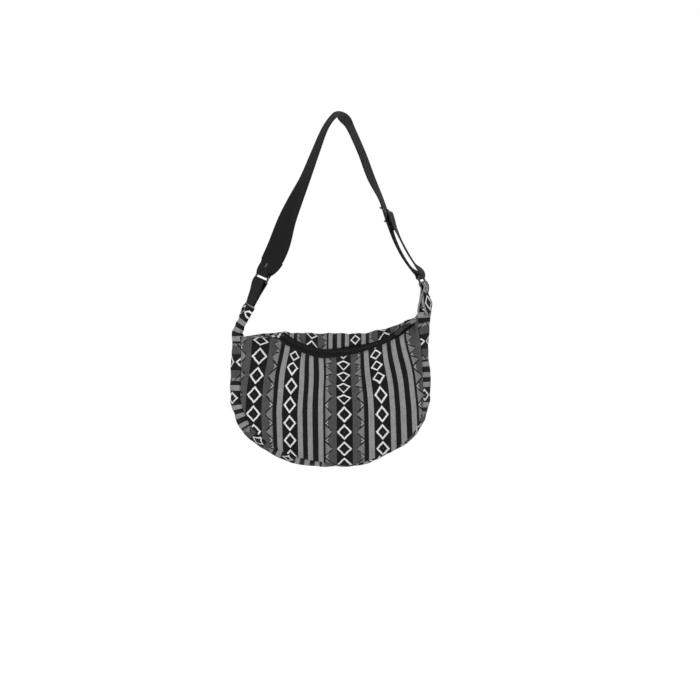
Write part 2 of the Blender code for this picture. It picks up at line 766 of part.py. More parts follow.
def section(share, width, crown):
    """Across a strip: the place, its drop below the middle and its normal's two parts."""
    place = share * width / 2
    swing = math.pi / 2 * place / CORNER_HALF_DEPTH
    drop = SIDE_BULGE * crown * (1 - np.cos(swing))
    slope = SIDE_BULGE * crown * np.sin(swing) * math.pi / 2 / CORNER_HALF_DEPTH
    size = np.sqrt(1 + slope ** 2)
    return place, drop, slope / size, 1 / size


class Route:
    """A strip's centre line, with its turn from edge-on, its crown, width and depth below it."""

    def __init__(self, stations, steps):
        """stations hold x, y, z, turn in degrees, crown, width and sink."""
        pts = smooth_route(stations, steps)
        self.line = pts[:, :3]
        turn = np.radians(pts[:, 3])[:, None]
        self.crown, self.width, self.sink = pts[:, 4], pts[:, 5], pts[:, 6]
        self.ahead = unit(np.gradient(self.line, axis=0))
        flat = np.array([0.0, 1.0, 0.0])
        self.out = unit(np.cross(self.ahead, flat))
        self.bar = -np.cos(turn) * flat - np.sin(turn) * self.out
        self.face = np.cos(turn) * self.out - np.sin(turn) * flat
        step = np.linalg.norm(np.diff(self.line, axis=0), axis=1)
        self.reach = np.concatenate([[0], np.cumsum(step)])

    def row(self, share, offset, width):
        """Points at one share across the strip, offset from its middle layer."""
        place, drop, along, lift = section(share, width, self.crown)
        high = offset - self.sink
        across = (place + along * high)[:, None]
        depth = (lift * high - drop)[:, None]
        return self.line + self.bar * across + self.face * depth

    def strand(self, offset, thick, columns, width=None):
        """Outer and inner grids of a strip that lies offset along the face direction."""
        width = self.width if width is None else width
        shares = np.linspace(-1, 1, columns + 1)
        outer = np.array([self.row(s, offset + thick / 2, width) for s in shares])
        inner = np.array([self.row(s, offset - thick / 2, width) for s in shares])
        return outer.transpose(1, 0, 2), inner.transpose(1, 0, 2)


def cut(grids, first=0, last=None, turned=False):
    """Part of a strand, turned end for end where it runs back."""
    step = -1 if turned else 1
    return [grid[first:last][::step] for grid in grids]


def bend(centre, radius, axes, start, stop, thick, columns, steps=8):
    """Outer and inner grids of a strip bent round a bar, without its end rows."""
    up, face, bar = axes
    outer, inner = [], []
    for k in range(1, steps):
        turn = start + (stop - start) * k / steps
        ray = math.cos(turn) * face + math.sin(turn) * up
        for grid, reach in ((outer, radius + thick / 2), (inner, radius - thick / 2)):
            spot = centre + reach * ray
            grid.append([spot + bar * WEB_WIDTH * (j / columns - 0.5) for j in range(columns + 1)])
    return np.array(outer), np.array(inner)


def strip(name, pieces, look):
    """One strip from stretches that each give the grids of its two faces."""
    top = np.concatenate([piece[0] for piece in pieces])
    low = np.concatenate([piece[1] for piece in pieces])
    return shell(name, top, low, look)


def bar_radius(thick):
    """From a ring's bar to the middle of the cloth or webbing round it."""
    return RING_WIRE + RING_SLACK + thick / 2


def bar_centre(place, up, side):
    """The middle of a ring's upper (side 1) or lower (side -1) bar."""
    return np.array([place[0], 0.0, place[1]]) + side * up * (RING_CLEAR_HEIGHT / 2 + RING_WIRE)


def station(point, turn, crown=0.0, width=WEB_WIDTH, sink=0.0):
    return (*point, turn, crown, width, sink)


def flat_station(x, z, turn):
    return station((x, 0.0, z), turn)


LEFT_AXES = ring_axes(LEFT_RING_LEAN, LEFT_RING_TURN)
RIGHT_AXES = ring_axes(RIGHT_RING_LEAN, RIGHT_RING_TURN)
RING_LEAD = 6 * MM


def arm_stations(ring, rows):
    """Stations of an arm from how far each lies aside from the straight line to the ring."""
    return [flat_station(ring[0] * z / ring[1] + aside, z, turn) for aside, z, turn in rows]


def adjuster_ends():
    """Where the strap passes above the adjuster's place and below it, in the front view."""
    return [(RIGHT_RING[0] * z / RIGHT_RING[1] + aside, z)
            for aside, z in ((ADJUSTER_TOP_ASIDE, ADJUSTER_TOP_Z),
                             (ADJUSTER_FOOT_ASIDE, ADJUSTER_FOOT_Z))]


def strap_route(lower_turn=None):
    """The strap's own strand, from the left ring over the top to the right ring."""
    reach = bar_radius(WEB)
    up, face, _ = LEFT_AXES
    start = bar_centre(LEFT_RING, up, 1) + face * reach
    stations = [station(start, math.degrees(LEFT_RING_TURN)),
                station(start + up * RING_LEAD, math.degrees(LEFT_RING_TURN) + 4)]
    stations += arm_stations(LEFT_RING, LEFT_ARM)
    stations += [flat_station(*STRAP_TOP)]
    stations += arm_stations(RIGHT_RING, RIGHT_ARM)
    top, foot = adjuster_ends()
    stations += [flat_station(*top, ADJUSTER_TURN)]
    stations += [flat_station(*between(top, foot, 0.5), ADJUSTER_TURN)]
    stations += [flat_station(*foot, ADJUSTER_TURN)]
    lower = arm_stations(RIGHT_RING, LOWER_RIGHT_ARM)
    if lower_turn is not None:
        lower = [station(row[:3], lower_turn) for row in lower]
    stations += lower
    up, face, _ = RIGHT_AXES
    end = bar_centre(RIGHT_RING, up, 1) - face * reach
    stations += [station(end + up * RING_LEAD, math.degrees(RIGHT_RING_TURN)),
                 station(end, math.degrees(RIGHT_RING_TURN))]
    return Route(stations, STRAP_STEPS)


def between(first, second, share):
    return tuple(a + (b - a) * share for a, b in zip(first, second))


def adjuster_axes():
    """The way down the strap at the adjuster, the strap's face and the way across it."""
    top, foot = adjuster_ends()
    down = unit([foot[0] - top[0], 0.0, foot[1] - top[1]])
    out = np.cross(down, np.array([0.0, 1.0, 0.0]))
    turn = math.radians(ADJUSTER_TURN)
    flat = np.array([0.0, 1.0, 0.0])
    face = math.cos(turn) * out - math.sin(turn) * flat
    bar = -math.cos(turn) * flat - math.sin(turn) * out
    return down, face, bar


def adjuster_centre():
    top = adjuster_ends()[0]
    return np.array([top[0], 0.0, top[1]]) + adjuster_axes()[0] * ADJUSTER_PLACE


def centre_bar_offset():
    """From the strap's middle, past the tail, to the middle of the adjuster's centre bar."""
    return 1.5 * WEB + 2 * GAP + ADJUSTER_BAR / 2


def build_strap():
    """One length of webbing: sewn tail, left ring, top, adjuster, right ring, adjuster, tail."""
    route = strap_route()
    columns = STRAP_COLUMNS
    count = len(route.line)
    total = route.reach[-1]
    main_strand = route.strand(np.zeros(count), WEB, columns)
    radius = bar_radius(WEB)
    close = WEB + GAP
    apart = close + (2 * radius - close) * (1 - ease(route.reach / (TAIL_LENGTH * 0.7)))
    tail = route.strand(-apart, WEB, columns)
    tail_end = int(np.searchsorted(route.reach, TAIL_LENGTH)) + 1
    pieces = [cut(tail, 0, tail_end, True)[::-1]]
    left_bar = bar_centre(LEFT_RING, LEFT_AXES[0], 1)
    pieces += [bend(left_bar, radius, LEFT_AXES, math.pi, 2 * math.pi, WEB, columns)]
    pieces += [main_strand]
    right_bar = bar_centre(RIGHT_RING, RIGHT_AXES[0], 1)
    pieces += [bend(right_bar, radius, RIGHT_AXES, math.pi, 2 * math.pi, WEB, columns)[::-1]]
    down, face, bar = adjuster_axes()
    centre = adjuster_centre()
    loop = ADJUSTER_BAR / 2 + GAP + WEB / 2
    far = centre_bar_offset() + loop
    from_ring = total - route.reach
    near_ring = ease(from_ring / (30 * MM))
    top_of_loop = np.dot(route.line - centre, down)
    after_top = (route.line[:, 0] > adjuster_ends()[0][0]) & (top_of_loop > 0.5 * MM)
    first = int(np.argmax(after_top))
    below = top_of_loop - ADJUSTER_LENGTH
    bow = RETURN_BOW * np.sin(math.pi * np.clip(below / (below + from_ring), 0, 1))
    apart = 2 * radius + (far - 2 * radius) * near_ring + bow
    back = strap_route(RETURN_TURN).strand(apart, WEB, columns)
    pieces += [cut(back, first, None, True)[::-1]]
    middle = centre + face * centre_bar_offset()
    pieces += [bend(middle, loop, (-down, face, bar), 0, math.pi, WEB, columns)[::-1]]
    tail = route.strand(np.full(count, WEB + GAP), WEB, columns)
    tail_stop = first + int(np.sum((top_of_loop[first:] < TAIL_LENGTH)))
    pieces += [cut(tail, first, tail_stop)]
    strip("shoulder_strap", pieces, webbing())


def build_adjuster():
    """A buckle whose end bars lie inside the strap and whose centre bar carries the tail."""
    down, face, bar = adjuster_axes()
    centre = adjuster_centre()
    look = black_plastic()
    low = -WEB / 2 - GAP - 0.8 * ADJUSTER_BAR
    brow = -WEB / 2 - GAP
    high = centre_bar_offset() + ADJUSTER_BAR / 2
    end = ADJUSTER_LENGTH / 2
    crest = ADJUSTER_BAR * 0.8
    outline = [(-end, low), (end, low), (end, brow), (crest, high), (-crest, high), (-end, brow)]
    rail_place = WEB_WIDTH / 2 + 2 * GAP + ADJUSTER_RAIL / 2
    rails = []
    for name, side in (("adjuster", -1), ("adjuster_rail", 1)):
        rails.append(prism(name, outline, ADJUSTER_RAIL, centre + side * rail_place * bar,
                           (down, face, bar), look))
    across = 2 * rail_place
    inside = 0.05 * MM
    joins = []
    for name, side in (("adjuster_top_bar", -1), ("adjuster_low_bar", 1)):
        place = centre + side * down * (end - ADJUSTER_BAR / 2 - inside)
        joins.append(block(name, place + face * (low + brow) / 2, (down, face, bar),
                           (ADJUSTER_BAR, brow - low - 2 * inside, across), look))
    sides = 8
    radius = ADJUSTER_BAR / 2 - inside
    ring = [(radius * math.cos(2 * math.pi * k / sides), radius * math.sin(2 * math.pi * k / sides))
            for k in range(sides)]
    joins.append(prism("adjuster_middle_bar", ring, across, centre + face * centre_bar_offset(),
                       (down, face, bar), look))
    fuse(rails[0], [rails[1], *joins])


def left_tab_stations():
    """Inside the gusset's end, then up to the mouth where the webbing comes out."""
    edge = LEFT_SIDE_X
    depth = CLOTH + TAB_SPACE + tab_half_thickness()
    base = TAB_BASE_WIDTH
    stations = [station((edge, 0.0, LEFT_CORNER_Z - TAB_TUCK), 0, 1, base, depth),
                station((edge, 0.0, LEFT_CORNER_Z - TAB_TUCK / 2), 0, 1, base, depth),
                station((edge, 0.0, LEFT_CORNER_Z), 0, 1, base, depth)]
    for inward, z, turn, crown in LEFT_TAB_ROUTE:
        width = base + (SLEEVE_WIDTH - base) * min(1.0, 1.5 * (1 - crown))
        stations.append(station((edge + inward, 0.0, z), turn, crown, width, depth * crown))
    return stations


def build_left_tab():
    """A flat cloth sleeve sewn round both ends of a short webbing loop."""
    stations = left_tab_stations()
    mouth = (len(stations) - 1) * TAB_STEPS
    up = LEFT_AXES[0]
    end = bar_centre(LEFT_RING, up, -1)
    turn = math.degrees(LEFT_RING_TURN)
    halfway = (np.array(stations[-1][:3]) + end) / 2
    stations += [station(halfway, turn - 2), station(end - up * RING_LEAD, turn),
                 station(end, turn)]
    route = Route(stations, TAB_STEPS)
    thick = tab_half_thickness()
    hollow = thick - CLOTH
    shares = np.linspace(-1, 1, TAB_COLUMNS + 1)
    outer, inner = [], []
    for loops, width, offset in ((outer, route.width, thick),
                                 (inner, route.width - 2 * CLOTH, hollow)):
        for share in shares:
            loops.append(route.row(share, offset, width)[:mouth + 1])
        for share in shares[::-1]:
            loops.append(route.row(share, -offset, width)[:mouth + 1])
    sleeve("left_tab", np.array(outer).transpose(1, 0, 2), np.array(inner).transpose(1, 0, 2),
           woven())
    build_left_webbing(route, mouth, end)


def build_left_webbing(route, mouth, end):
    """The short loop between the left tab and the left ring."""
    radius = bar_radius(WEB)
    close = (WEB + GAP) / 2
    from_end = route.reach[-1] - route.reach
    apart = close + (radius - close) * (1 - ease(from_end / (20 * MM)))
    first = int(np.searchsorted(route.reach, route.reach[mouth] - WEB_TUCK))
    width = np.full(len(route.line), WEB_WIDTH)
    near = route.strand(-apart, WEB, TAB_COLUMNS, width)
    far = route.strand(apart, WEB, TAB_COLUMNS, width)
    pieces = [cut(near, first)[::-1],
              bend(end, radius, LEFT_AXES, math.pi, 0, WEB, TAB_COLUMNS),
              cut(far, first, None, True)]
    strip("left_webbing_loop", pieces, webbing())


def build_right_tab():
    """A strip of cloth folded round the right ring, both ends sewn into the gusset's end."""
    up, face, bar = RIGHT_AXES
    top = bar_centre(RIGHT_RING, up, -1)
    turn = math.degrees(RIGHT_RING_TURN)
    edge = RIGHT_SIDE_X - RIGHT_CORNER_INSET
    depth = CLOTH + TAB_SPACE + CLOTH + GAP / 2
    stations = [station(top, turn, 0, TAB_WIDTH, 0),
                station(top - up * RING_LEAD, turn, 0, TAB_WIDTH, 0)]
    for inward, z, route_turn, crown in RIGHT_TAB_ROUTE[::-1]:
        width = TAB_WIDTH + (TAB_BASE_WIDTH - TAB_WIDTH) * crown
        place = (RIGHT_SIDE_X - inward, 0.0, z)
        stations.append(station(place, route_turn, crown, width, depth * crown))
    for drop in (0.0, TAB_TUCK / 2, TAB_TUCK):
        stations.append(station((edge, 0.0, RIGHT_CORNER_Z - drop), 0, 1, TAB_BASE_WIDTH, depth))
    route = Route(stations, TAB_STEPS)
    radius = bar_radius(CLOTH)
    close = (CLOTH + GAP) / 2
    apart = close + (radius - close) * (1 - ease(route.reach / (20 * MM)))
    near = route.strand(-apart, CLOTH, TAB_COLUMNS)
    far = route.strand(apart, CLOTH, TAB_COLUMNS)
    pieces = [cut(near, 0, None, True)[::-1],
              bend(top, radius, RIGHT_AXES, math.pi, 0, CLOTH, TAB_COLUMNS),
              far]
    strip("right_tab", pieces, woven())


def main():
    clear_scene()
    zip_arc = Zip()
    build_body(zip_arc)
    build_zip(zip_arc)
    build_slider(zip_arc)
    build_ring("left_ring", LEFT_RING, LEFT_RING_LEAN, LEFT_RING_TURN)
    build_ring("right_ring", RIGHT_RING, RIGHT_RING_LEAN, RIGHT_RING_TURN)
    build_strap()
    build_adjuster()
    build_left_tab()
    build_right_tab()


main()
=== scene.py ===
import math

import bpy
import numpy as np
from mathutils import Matrix, Vector


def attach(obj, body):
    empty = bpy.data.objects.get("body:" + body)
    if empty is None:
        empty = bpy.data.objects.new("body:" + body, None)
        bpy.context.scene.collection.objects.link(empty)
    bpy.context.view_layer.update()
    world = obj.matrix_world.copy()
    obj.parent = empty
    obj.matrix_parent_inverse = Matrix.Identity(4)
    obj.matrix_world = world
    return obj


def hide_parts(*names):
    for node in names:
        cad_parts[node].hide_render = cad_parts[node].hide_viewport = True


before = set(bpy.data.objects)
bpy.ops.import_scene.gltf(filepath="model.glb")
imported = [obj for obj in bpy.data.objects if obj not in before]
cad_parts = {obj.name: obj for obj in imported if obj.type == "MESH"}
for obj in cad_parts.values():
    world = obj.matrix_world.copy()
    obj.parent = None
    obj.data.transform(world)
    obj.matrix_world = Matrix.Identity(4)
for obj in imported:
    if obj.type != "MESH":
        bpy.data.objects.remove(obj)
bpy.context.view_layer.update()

MM = 0.001
PIXEL = 1.4 * MM      # one pixel of the photograph at the bag
PHOTO_X0 = 338        # the photograph's column of the frame's origin
PHOTO_Z0 = 115        # and its row

# Sizes that the solids also have.
BAG_CENTRE_X = -11.2 * MM
BAG_WIDTH = 280 * MM
LEFT_SIDE_X = BAG_CENTRE_X - BAG_WIDTH / 2
RIGHT_SIDE_X = BAG_CENTRE_X + BAG_WIDTH / 2
SIDE_TURN_Z = -392 * MM
BOTTOM_Z = -492.8 * MM
LEFT_CORNER_Z = -310.8 * MM
RIGHT_CORNER_Z = -282 * MM
CORNER_HALF_DEPTH = 20 * MM
BOTTOM_HALF_DEPTH = 38 * MM
SIDE_BULGE = 15.4 * MM
RIGHT_CORNER_INSET = 4 * MM
BOTTOM_BULGE = 7 * MM
FRONT_BULGE = 23 * MM
BACK_BULGE = 22 * MM
RIDGE_BACK = 20 * MM
RIDGE_PLACE = 0.13
RIDGE_RISE_POWER = 5
CLOTH = 1.4 * MM
GAP = 0.3 * MM
ZIP_LEFT = (LEFT_SIDE_X + 72.8 * MM, 14 * MM, -308.7 * MM)
ZIP_LOW = (BAG_CENTRE_X - 7 * MM, -26 * MM, -332.5 * MM)
ZIP_RIGHT = (RIGHT_SIDE_X - 28 * MM, -4 * MM, -291.9 * MM)
ZIP_HALF_WIDTH = 8 * MM
TAPE = 0.8 * MM
COIL_RADIUS = 0.8 * MM
COIL_SPREAD = 1.3 * MM
STOP_LENGTH = 3 * MM
STOP_HEIGHT = 1.6 * MM
SLIDER_LENGTH = 9 * MM
SLIDER_WIDTH = 7.5 * MM
SLIDER_PLATE = 1.0 * MM
SLIDER_FROM_END = 8.6 * MM
BRIDGE_INSIDE = 2.1 * MM
BRIDGE_BAR = 0.8 * MM
PULL_LENGTH = 24 * MM
PULL_WIDTH = 6.4 * MM
PULL_THICK = 1.2 * MM
PULL_WINDOW = 5 * MM
PULL_WALL = 1.5 * MM
TAB_TUCK = 12 * MM

WEB_WIDTH = 38 * MM
WEB = 1.5 * MM
RING_WIRE = 1.5 * MM
RING_CLEAR_WIDTH = 40 * MM
RING_CLEAR_HEIGHT = 7 * MM
RING_SLACK = 0.6 * MM
RING_CORNER = 2.2 * MM
RING_LEAD = 6 * MM
TAIL_LENGTH = 26 * MM
ADJUSTER_LENGTH = 22 * MM
ADJUSTER_BAR = 2.1 * MM
ADJUSTER_RAIL = 2.2 * MM
LEFT_RING = (LEFT_SIDE_X + 44.8 * MM, -227.5 * MM)
LEFT_RING_LEAN = math.radians(25.6)
LEFT_RING_TURN = math.radians(26)
RIGHT_RING = (RIGHT_SIDE_X - 11.4 * MM, -231.5 * MM)
RIGHT_RING_LEAN = math.radians(-22)
RIGHT_RING_TURN = math.radians(12)

# The strap, in millimetres: aside from the straight line to the ring, height, turn from edge-on.
LEFT_ARM = ((2.2, -207.2, 50), (3.0, -184, 54), (-1.9, -148.4, 43), (-3.6, -119, 34),
            (-4.4, -88.2, 24), (-7.2, -53.9, 19), (-9.4, -21, 15), (-6.2, -4.0, 15))
STRAP_TOP = (0, 0.75, 19)
RIGHT_ARM = ((6.8, -5.6, 25), (8.4, -19.6, 18), (6.3, -53.9, 17), (1.7, -88.2, 17))
ADJUSTER_TOP = (0.4, -119)
ADJUSTER_FOOT = (-9.2, -173.6)
LOWER_RIGHT_ARM = ((-9.8, -196, 7), (-7.0, -213.5, 6.5))
ADJUSTER_PLACE = 21 * MM
ADJUSTER_TURN = 11
RETURN_TURN = 5
RETURN_BOW = 2.4 * MM

# The tabs, in millimetres: in from the bag's side, height, turn and crown.
LEFT_TAB_ROUTE = ((1.0, -303, 2, 0.9), (7.2, -293, 5, 0.6), (16.9, -280, 12, 0.25),
                  (28.0, -266, 18, 0.0))
RIGHT_TAB_ROUTE = ((4.0, -274, 12, 0.75), (5.2, -264, 19, 0.35), (7.2, -254, 15, 0.1))
TAB_SPACE = 0.9 * MM
WEB_TUCK = 14 * MM
TAB_WIDTH = 38 * MM
TAB_BASE_WIDTH = 31 * MM
SLEEVE_WIDTH = 42.4 * MM

# The weave, in millimetres of cloth.
REPEAT = 126
PITCH = 24.9
YARN = 0.62


# ---------------------------------------------------------------- small geometry helpers

def unit(vectors):
    vectors = np.asarray(vectors, dtype=float)
    return vectors / np.maximum(np.linalg.norm(vectors, axis=-1, keepdims=True), 1e-12)


def ease(value):
    value = np.clip(value, 0.0, 1.0)
    return value * value * (3 - 2 * value)


def grid_normals(grid):
    return unit(np.cross(np.gradient(grid, axis=0), np.gradient(grid, axis=1)))


def smooth_route(points, steps):
    pts = np.asarray(points, dtype=float)
    ends = np.concatenate([[2 * pts[0] - pts[1]], pts, [2 * pts[-1] - pts[-2]]])
    made = []
    for i in range(1, len(ends) - 2):
        before, here, there, beyond = ends[i - 1], ends[i], ends[i + 1], ends[i + 2]
        for k in range(steps):
            t = k / steps
            made.append(0.5 * (2 * here + (there - before) * t
                               + (2 * before - 5 * here + 4 * there - beyond) * t ** 2
                               + (3 * here - before - 3 * there + beyond) * t ** 3))
    made.append(pts[-1])
    return np.array(made)


def waves(x, z, size, seed, count=7):
    """A smooth seeded field of about -1 to 1, with bumps of that size."""
    draw = np.random.default_rng(seed)
    total = 0
    for _ in range(count):
        turn = draw.uniform(0, 2 * math.pi)
        reach = 2 * math.pi / (size * draw.uniform(0.7, 1.5))
        total = total + np.sin((x * math.cos(turn) + z * math.sin(turn)) * reach
                               + draw.uniform(0, 2 * math.pi))
    return total / math.sqrt(count)


# ---------------------------------------------------------------- mesh makers

def mesh_piece(name, points, faces, uvs, looks, face_look=None):
    mesh = bpy.data.meshes.new(name)
    mesh.from_pydata([tuple(p) for p in np.asarray(points, dtype=float)], [], faces)
    layer = mesh.uv_layers.new(name="weave")
    uvs = np.asarray(uvs, dtype=float)
    loops = np.zeros(len(mesh.loops), dtype=np.int64)
    mesh.loops.foreach_get("vertex_index", loops)
    layer.data.foreach_set("uv", uvs[loops].astype(np.float32).ravel())
    for look in looks:
        mesh.materials.append(look)
    if face_look is not None:
        mesh.polygons.foreach_set("material_index", np.asarray(face_look, dtype=np.int32))
    mesh.shade_smooth()
    mesh.update()
    piece = bpy.data.objects.new(name, mesh)
    bpy.context.scene.collection.objects.link(piece)
    return piece


def volume_of(points, faces):
    pts = np.asarray(points, dtype=float)
    quads = np.array([f if len(f) == 4 else (*f, f[0]) for f in faces])
    a, b, c, d = (pts[quads[:, k]] for k in range(4))
    return np.sum(a * np.cross(b, c)) + np.sum(a * np.cross(c, d))


def cloth_piece(name, top, bottom, uv, looks):
    """A closed sheet between two grids, its edges closed by a band of faces between them."""
    rows, columns = top.shape[:2]
    points = np.concatenate([top.reshape(-1, 3), bottom.reshape(-1, 3)])
    uvs = np.concatenate([uv.reshape(-1, 2), uv.reshape(-1, 2)])
    under = rows * columns
    index = np.arange(under).reshape(rows, columns)
    ring = np.stack([index[:-1, :-1], index[1:, :-1], index[1:, 1:], index[:-1, 1:]], axis=-1)
    ring = ring.reshape(-1, 4)
    faces = [tuple(f) for f in ring] + [tuple(f[::-1] + under) for f in ring]
    border = list(index[:, 0]) + list(index[-1, 1:]) + list(index[-2::-1, -1]) + list(index[0, -2:0:-1])
    for here, after in zip(border, border[1:] + border[:1]):
        faces.append((after, here, under + here, under + after))
    if volume_of(points, faces) < 0:
        faces = [tuple(reversed(f)) for f in faces]
    return mesh_piece(name, points, faces, uvs, looks)


def two_faces(surface, outward, thick):
    """The outer grid and the inner one, thick below it."""
    normals = grid_normals(surface)
    if np.sum(normals * outward(surface)) < 0:
        normals = -normals
    return surface, surface - normals * thick


def from_middle(surface):
    return surface - np.array([BAG_CENTRE_X, 0.0, (SIDE_TURN_Z + BOTTOM_Z) / 2])


# ---------------------------------------------------------------- shader maths

class Nodes:
    """One material's nodes; one method adds any node."""

    def __init__(self, name):
        self.look = bpy.data.materials.new(name)
        self.look.use_nodes = True
        self.tree = self.look.node_tree
        self.shader = self.tree.nodes["Principled BSDF"]

    def add(self, kind, settings=None, **sockets):
        node = self.tree.nodes.new(kind)
        for key, value in (settings or {}).items():
            setattr(node, key, value)
        for key, value in sockets.items():
            self.join(node.inputs[int(key[1:])], value)
        return node

    def join(self, socket, value):
        if isinstance(value, Value):
            value = value.socket
        if isinstance(value, bpy.types.NodeSocket):
            self.tree.links.new(value, socket)
        else:
            socket.default_value = value

    def value(self, socket):
        return Value(self, socket)

    def maths(self, operation, *values):
        node = self.add("ShaderNodeMath", {"operation": operation},
                        **{"i%d" % k: v for k, v in enumerate(values)})
        return Value(self, node.outputs[0])

    def mix(self, share, low, high):
        """A colour between two colours."""
        node = self.add("ShaderNodeMix", {"data_type": "RGBA"}, i0=share, i6=low, i7=high)
        return node.outputs[2]

    def noise(self, place, scale, detail=2.0):
        node = self.add("ShaderNodeTexNoise", {}, i0=place, i2=scale, i3=detail)
        return Value(self, node.outputs[0])

    def grain(self, place):
        """A new number from 0 to 1 for each cell of whole numbers."""
        node = self.add("ShaderNodeTexWhiteNoise", {"noise_dimensions": "2D"}, i0=place)
        return Value(self, node.outputs[0])

    def weave_map(self, scale=1000.0):
        """The piece's own cloth coordinates in millimetres."""
        uv = self.add("ShaderNodeUVMap", {"uv_map": "weave"})
        parts = self.add("ShaderNodeSeparateXYZ", {}, i0=uv.outputs[0])
        return (Value(self, parts.outputs[0]) * scale, Value(self, parts.outputs[1]) * scale)

    def point(self, x, y, z=0.0):
        return self.add("ShaderNodeCombineXYZ", {}, i0=x, i1=y, i2=z).outputs[0]

    def bump(self, height, distance, strength=1.0):
        node = self.add("ShaderNodeBump", {}, i0=strength, i1=distance)
        self.join(node.inputs["Height"], height)
        self.tree.links.new(node.outputs[0], self.shader.inputs["Normal"])


class Value:
    """A number socket on which sums are written as Python writes them."""

    def __init__(self, nodes, socket):
        self.nodes, self.socket = nodes, socket

    def __add__(self, other):
        return self.nodes.maths("ADD", self, other)

    def __sub__(self, other):
        return self.nodes.maths("SUBTRACT", self, other)

    def __rsub__(self, other):
        return self.nodes.maths("SUBTRACT", other, self)

    def __mul__(self, other):
        return self.nodes.maths("MULTIPLY", self, other)

    def __truediv__(self, other):
        return self.nodes.maths("DIVIDE", self, other)

    def __abs__(self):
        return self.nodes.maths("ABSOLUTE", self)

    __radd__ = __add__
    __rmul__ = __mul__

    def floor(self):
        return self.nodes.maths("FLOOR", self)

    def wrap(self, size):
        """This value modulo size, never negative."""
        return self.nodes.maths("FLOORED_MODULO", self, size)

    def below(self, limit):
        return self.nodes.maths("LESS_THAN", self, limit)

    def above(self, limit):
        return self.nodes.maths("GREATER_THAN", self, limit)

    def sine(self):
        return self.nodes.maths("SINE", self)

    def power(self, exponent):
        return self.nodes.maths("POWER", self, exponent)

    def least(self, other):
        return self.nodes.maths("MINIMUM", self, other)

    def most(self, other):
        return self.nodes.maths("MAXIMUM", self, other)


BLACK = 0.0095
DARK = 0.078
MIDDLE = 0.20
GREY = 0.285
PALE = 0.44
WHITE = 0.78

# Where each stripe of one repeat starts, in millimetres, and its tone.
STRIPES = ((0, BLACK), (11.3, DARK), (26.2, BLACK), (32.0, GREY), (39.5, BLACK), (61.3, GREY),
           (68.0, BLACK), (75.2, GREY), (81.8, BLACK), (89.8, GREY), (96.8, BLACK),
           (99.8, DARK), (114.7, BLACK))
ZIGZAG_FROM, ZIGZAG_WIDE = 16.8, 9.4


def lozenge(nodes, across, up, half_width, half_height, line):
    """Its outline as 1, and the small mark at its middle."""
    reach = abs(across) / half_width + abs(up) / half_height
    outline = reach.below(1.0) * reach.above(1.0 - line)
    return outline, reach.below(0.17)


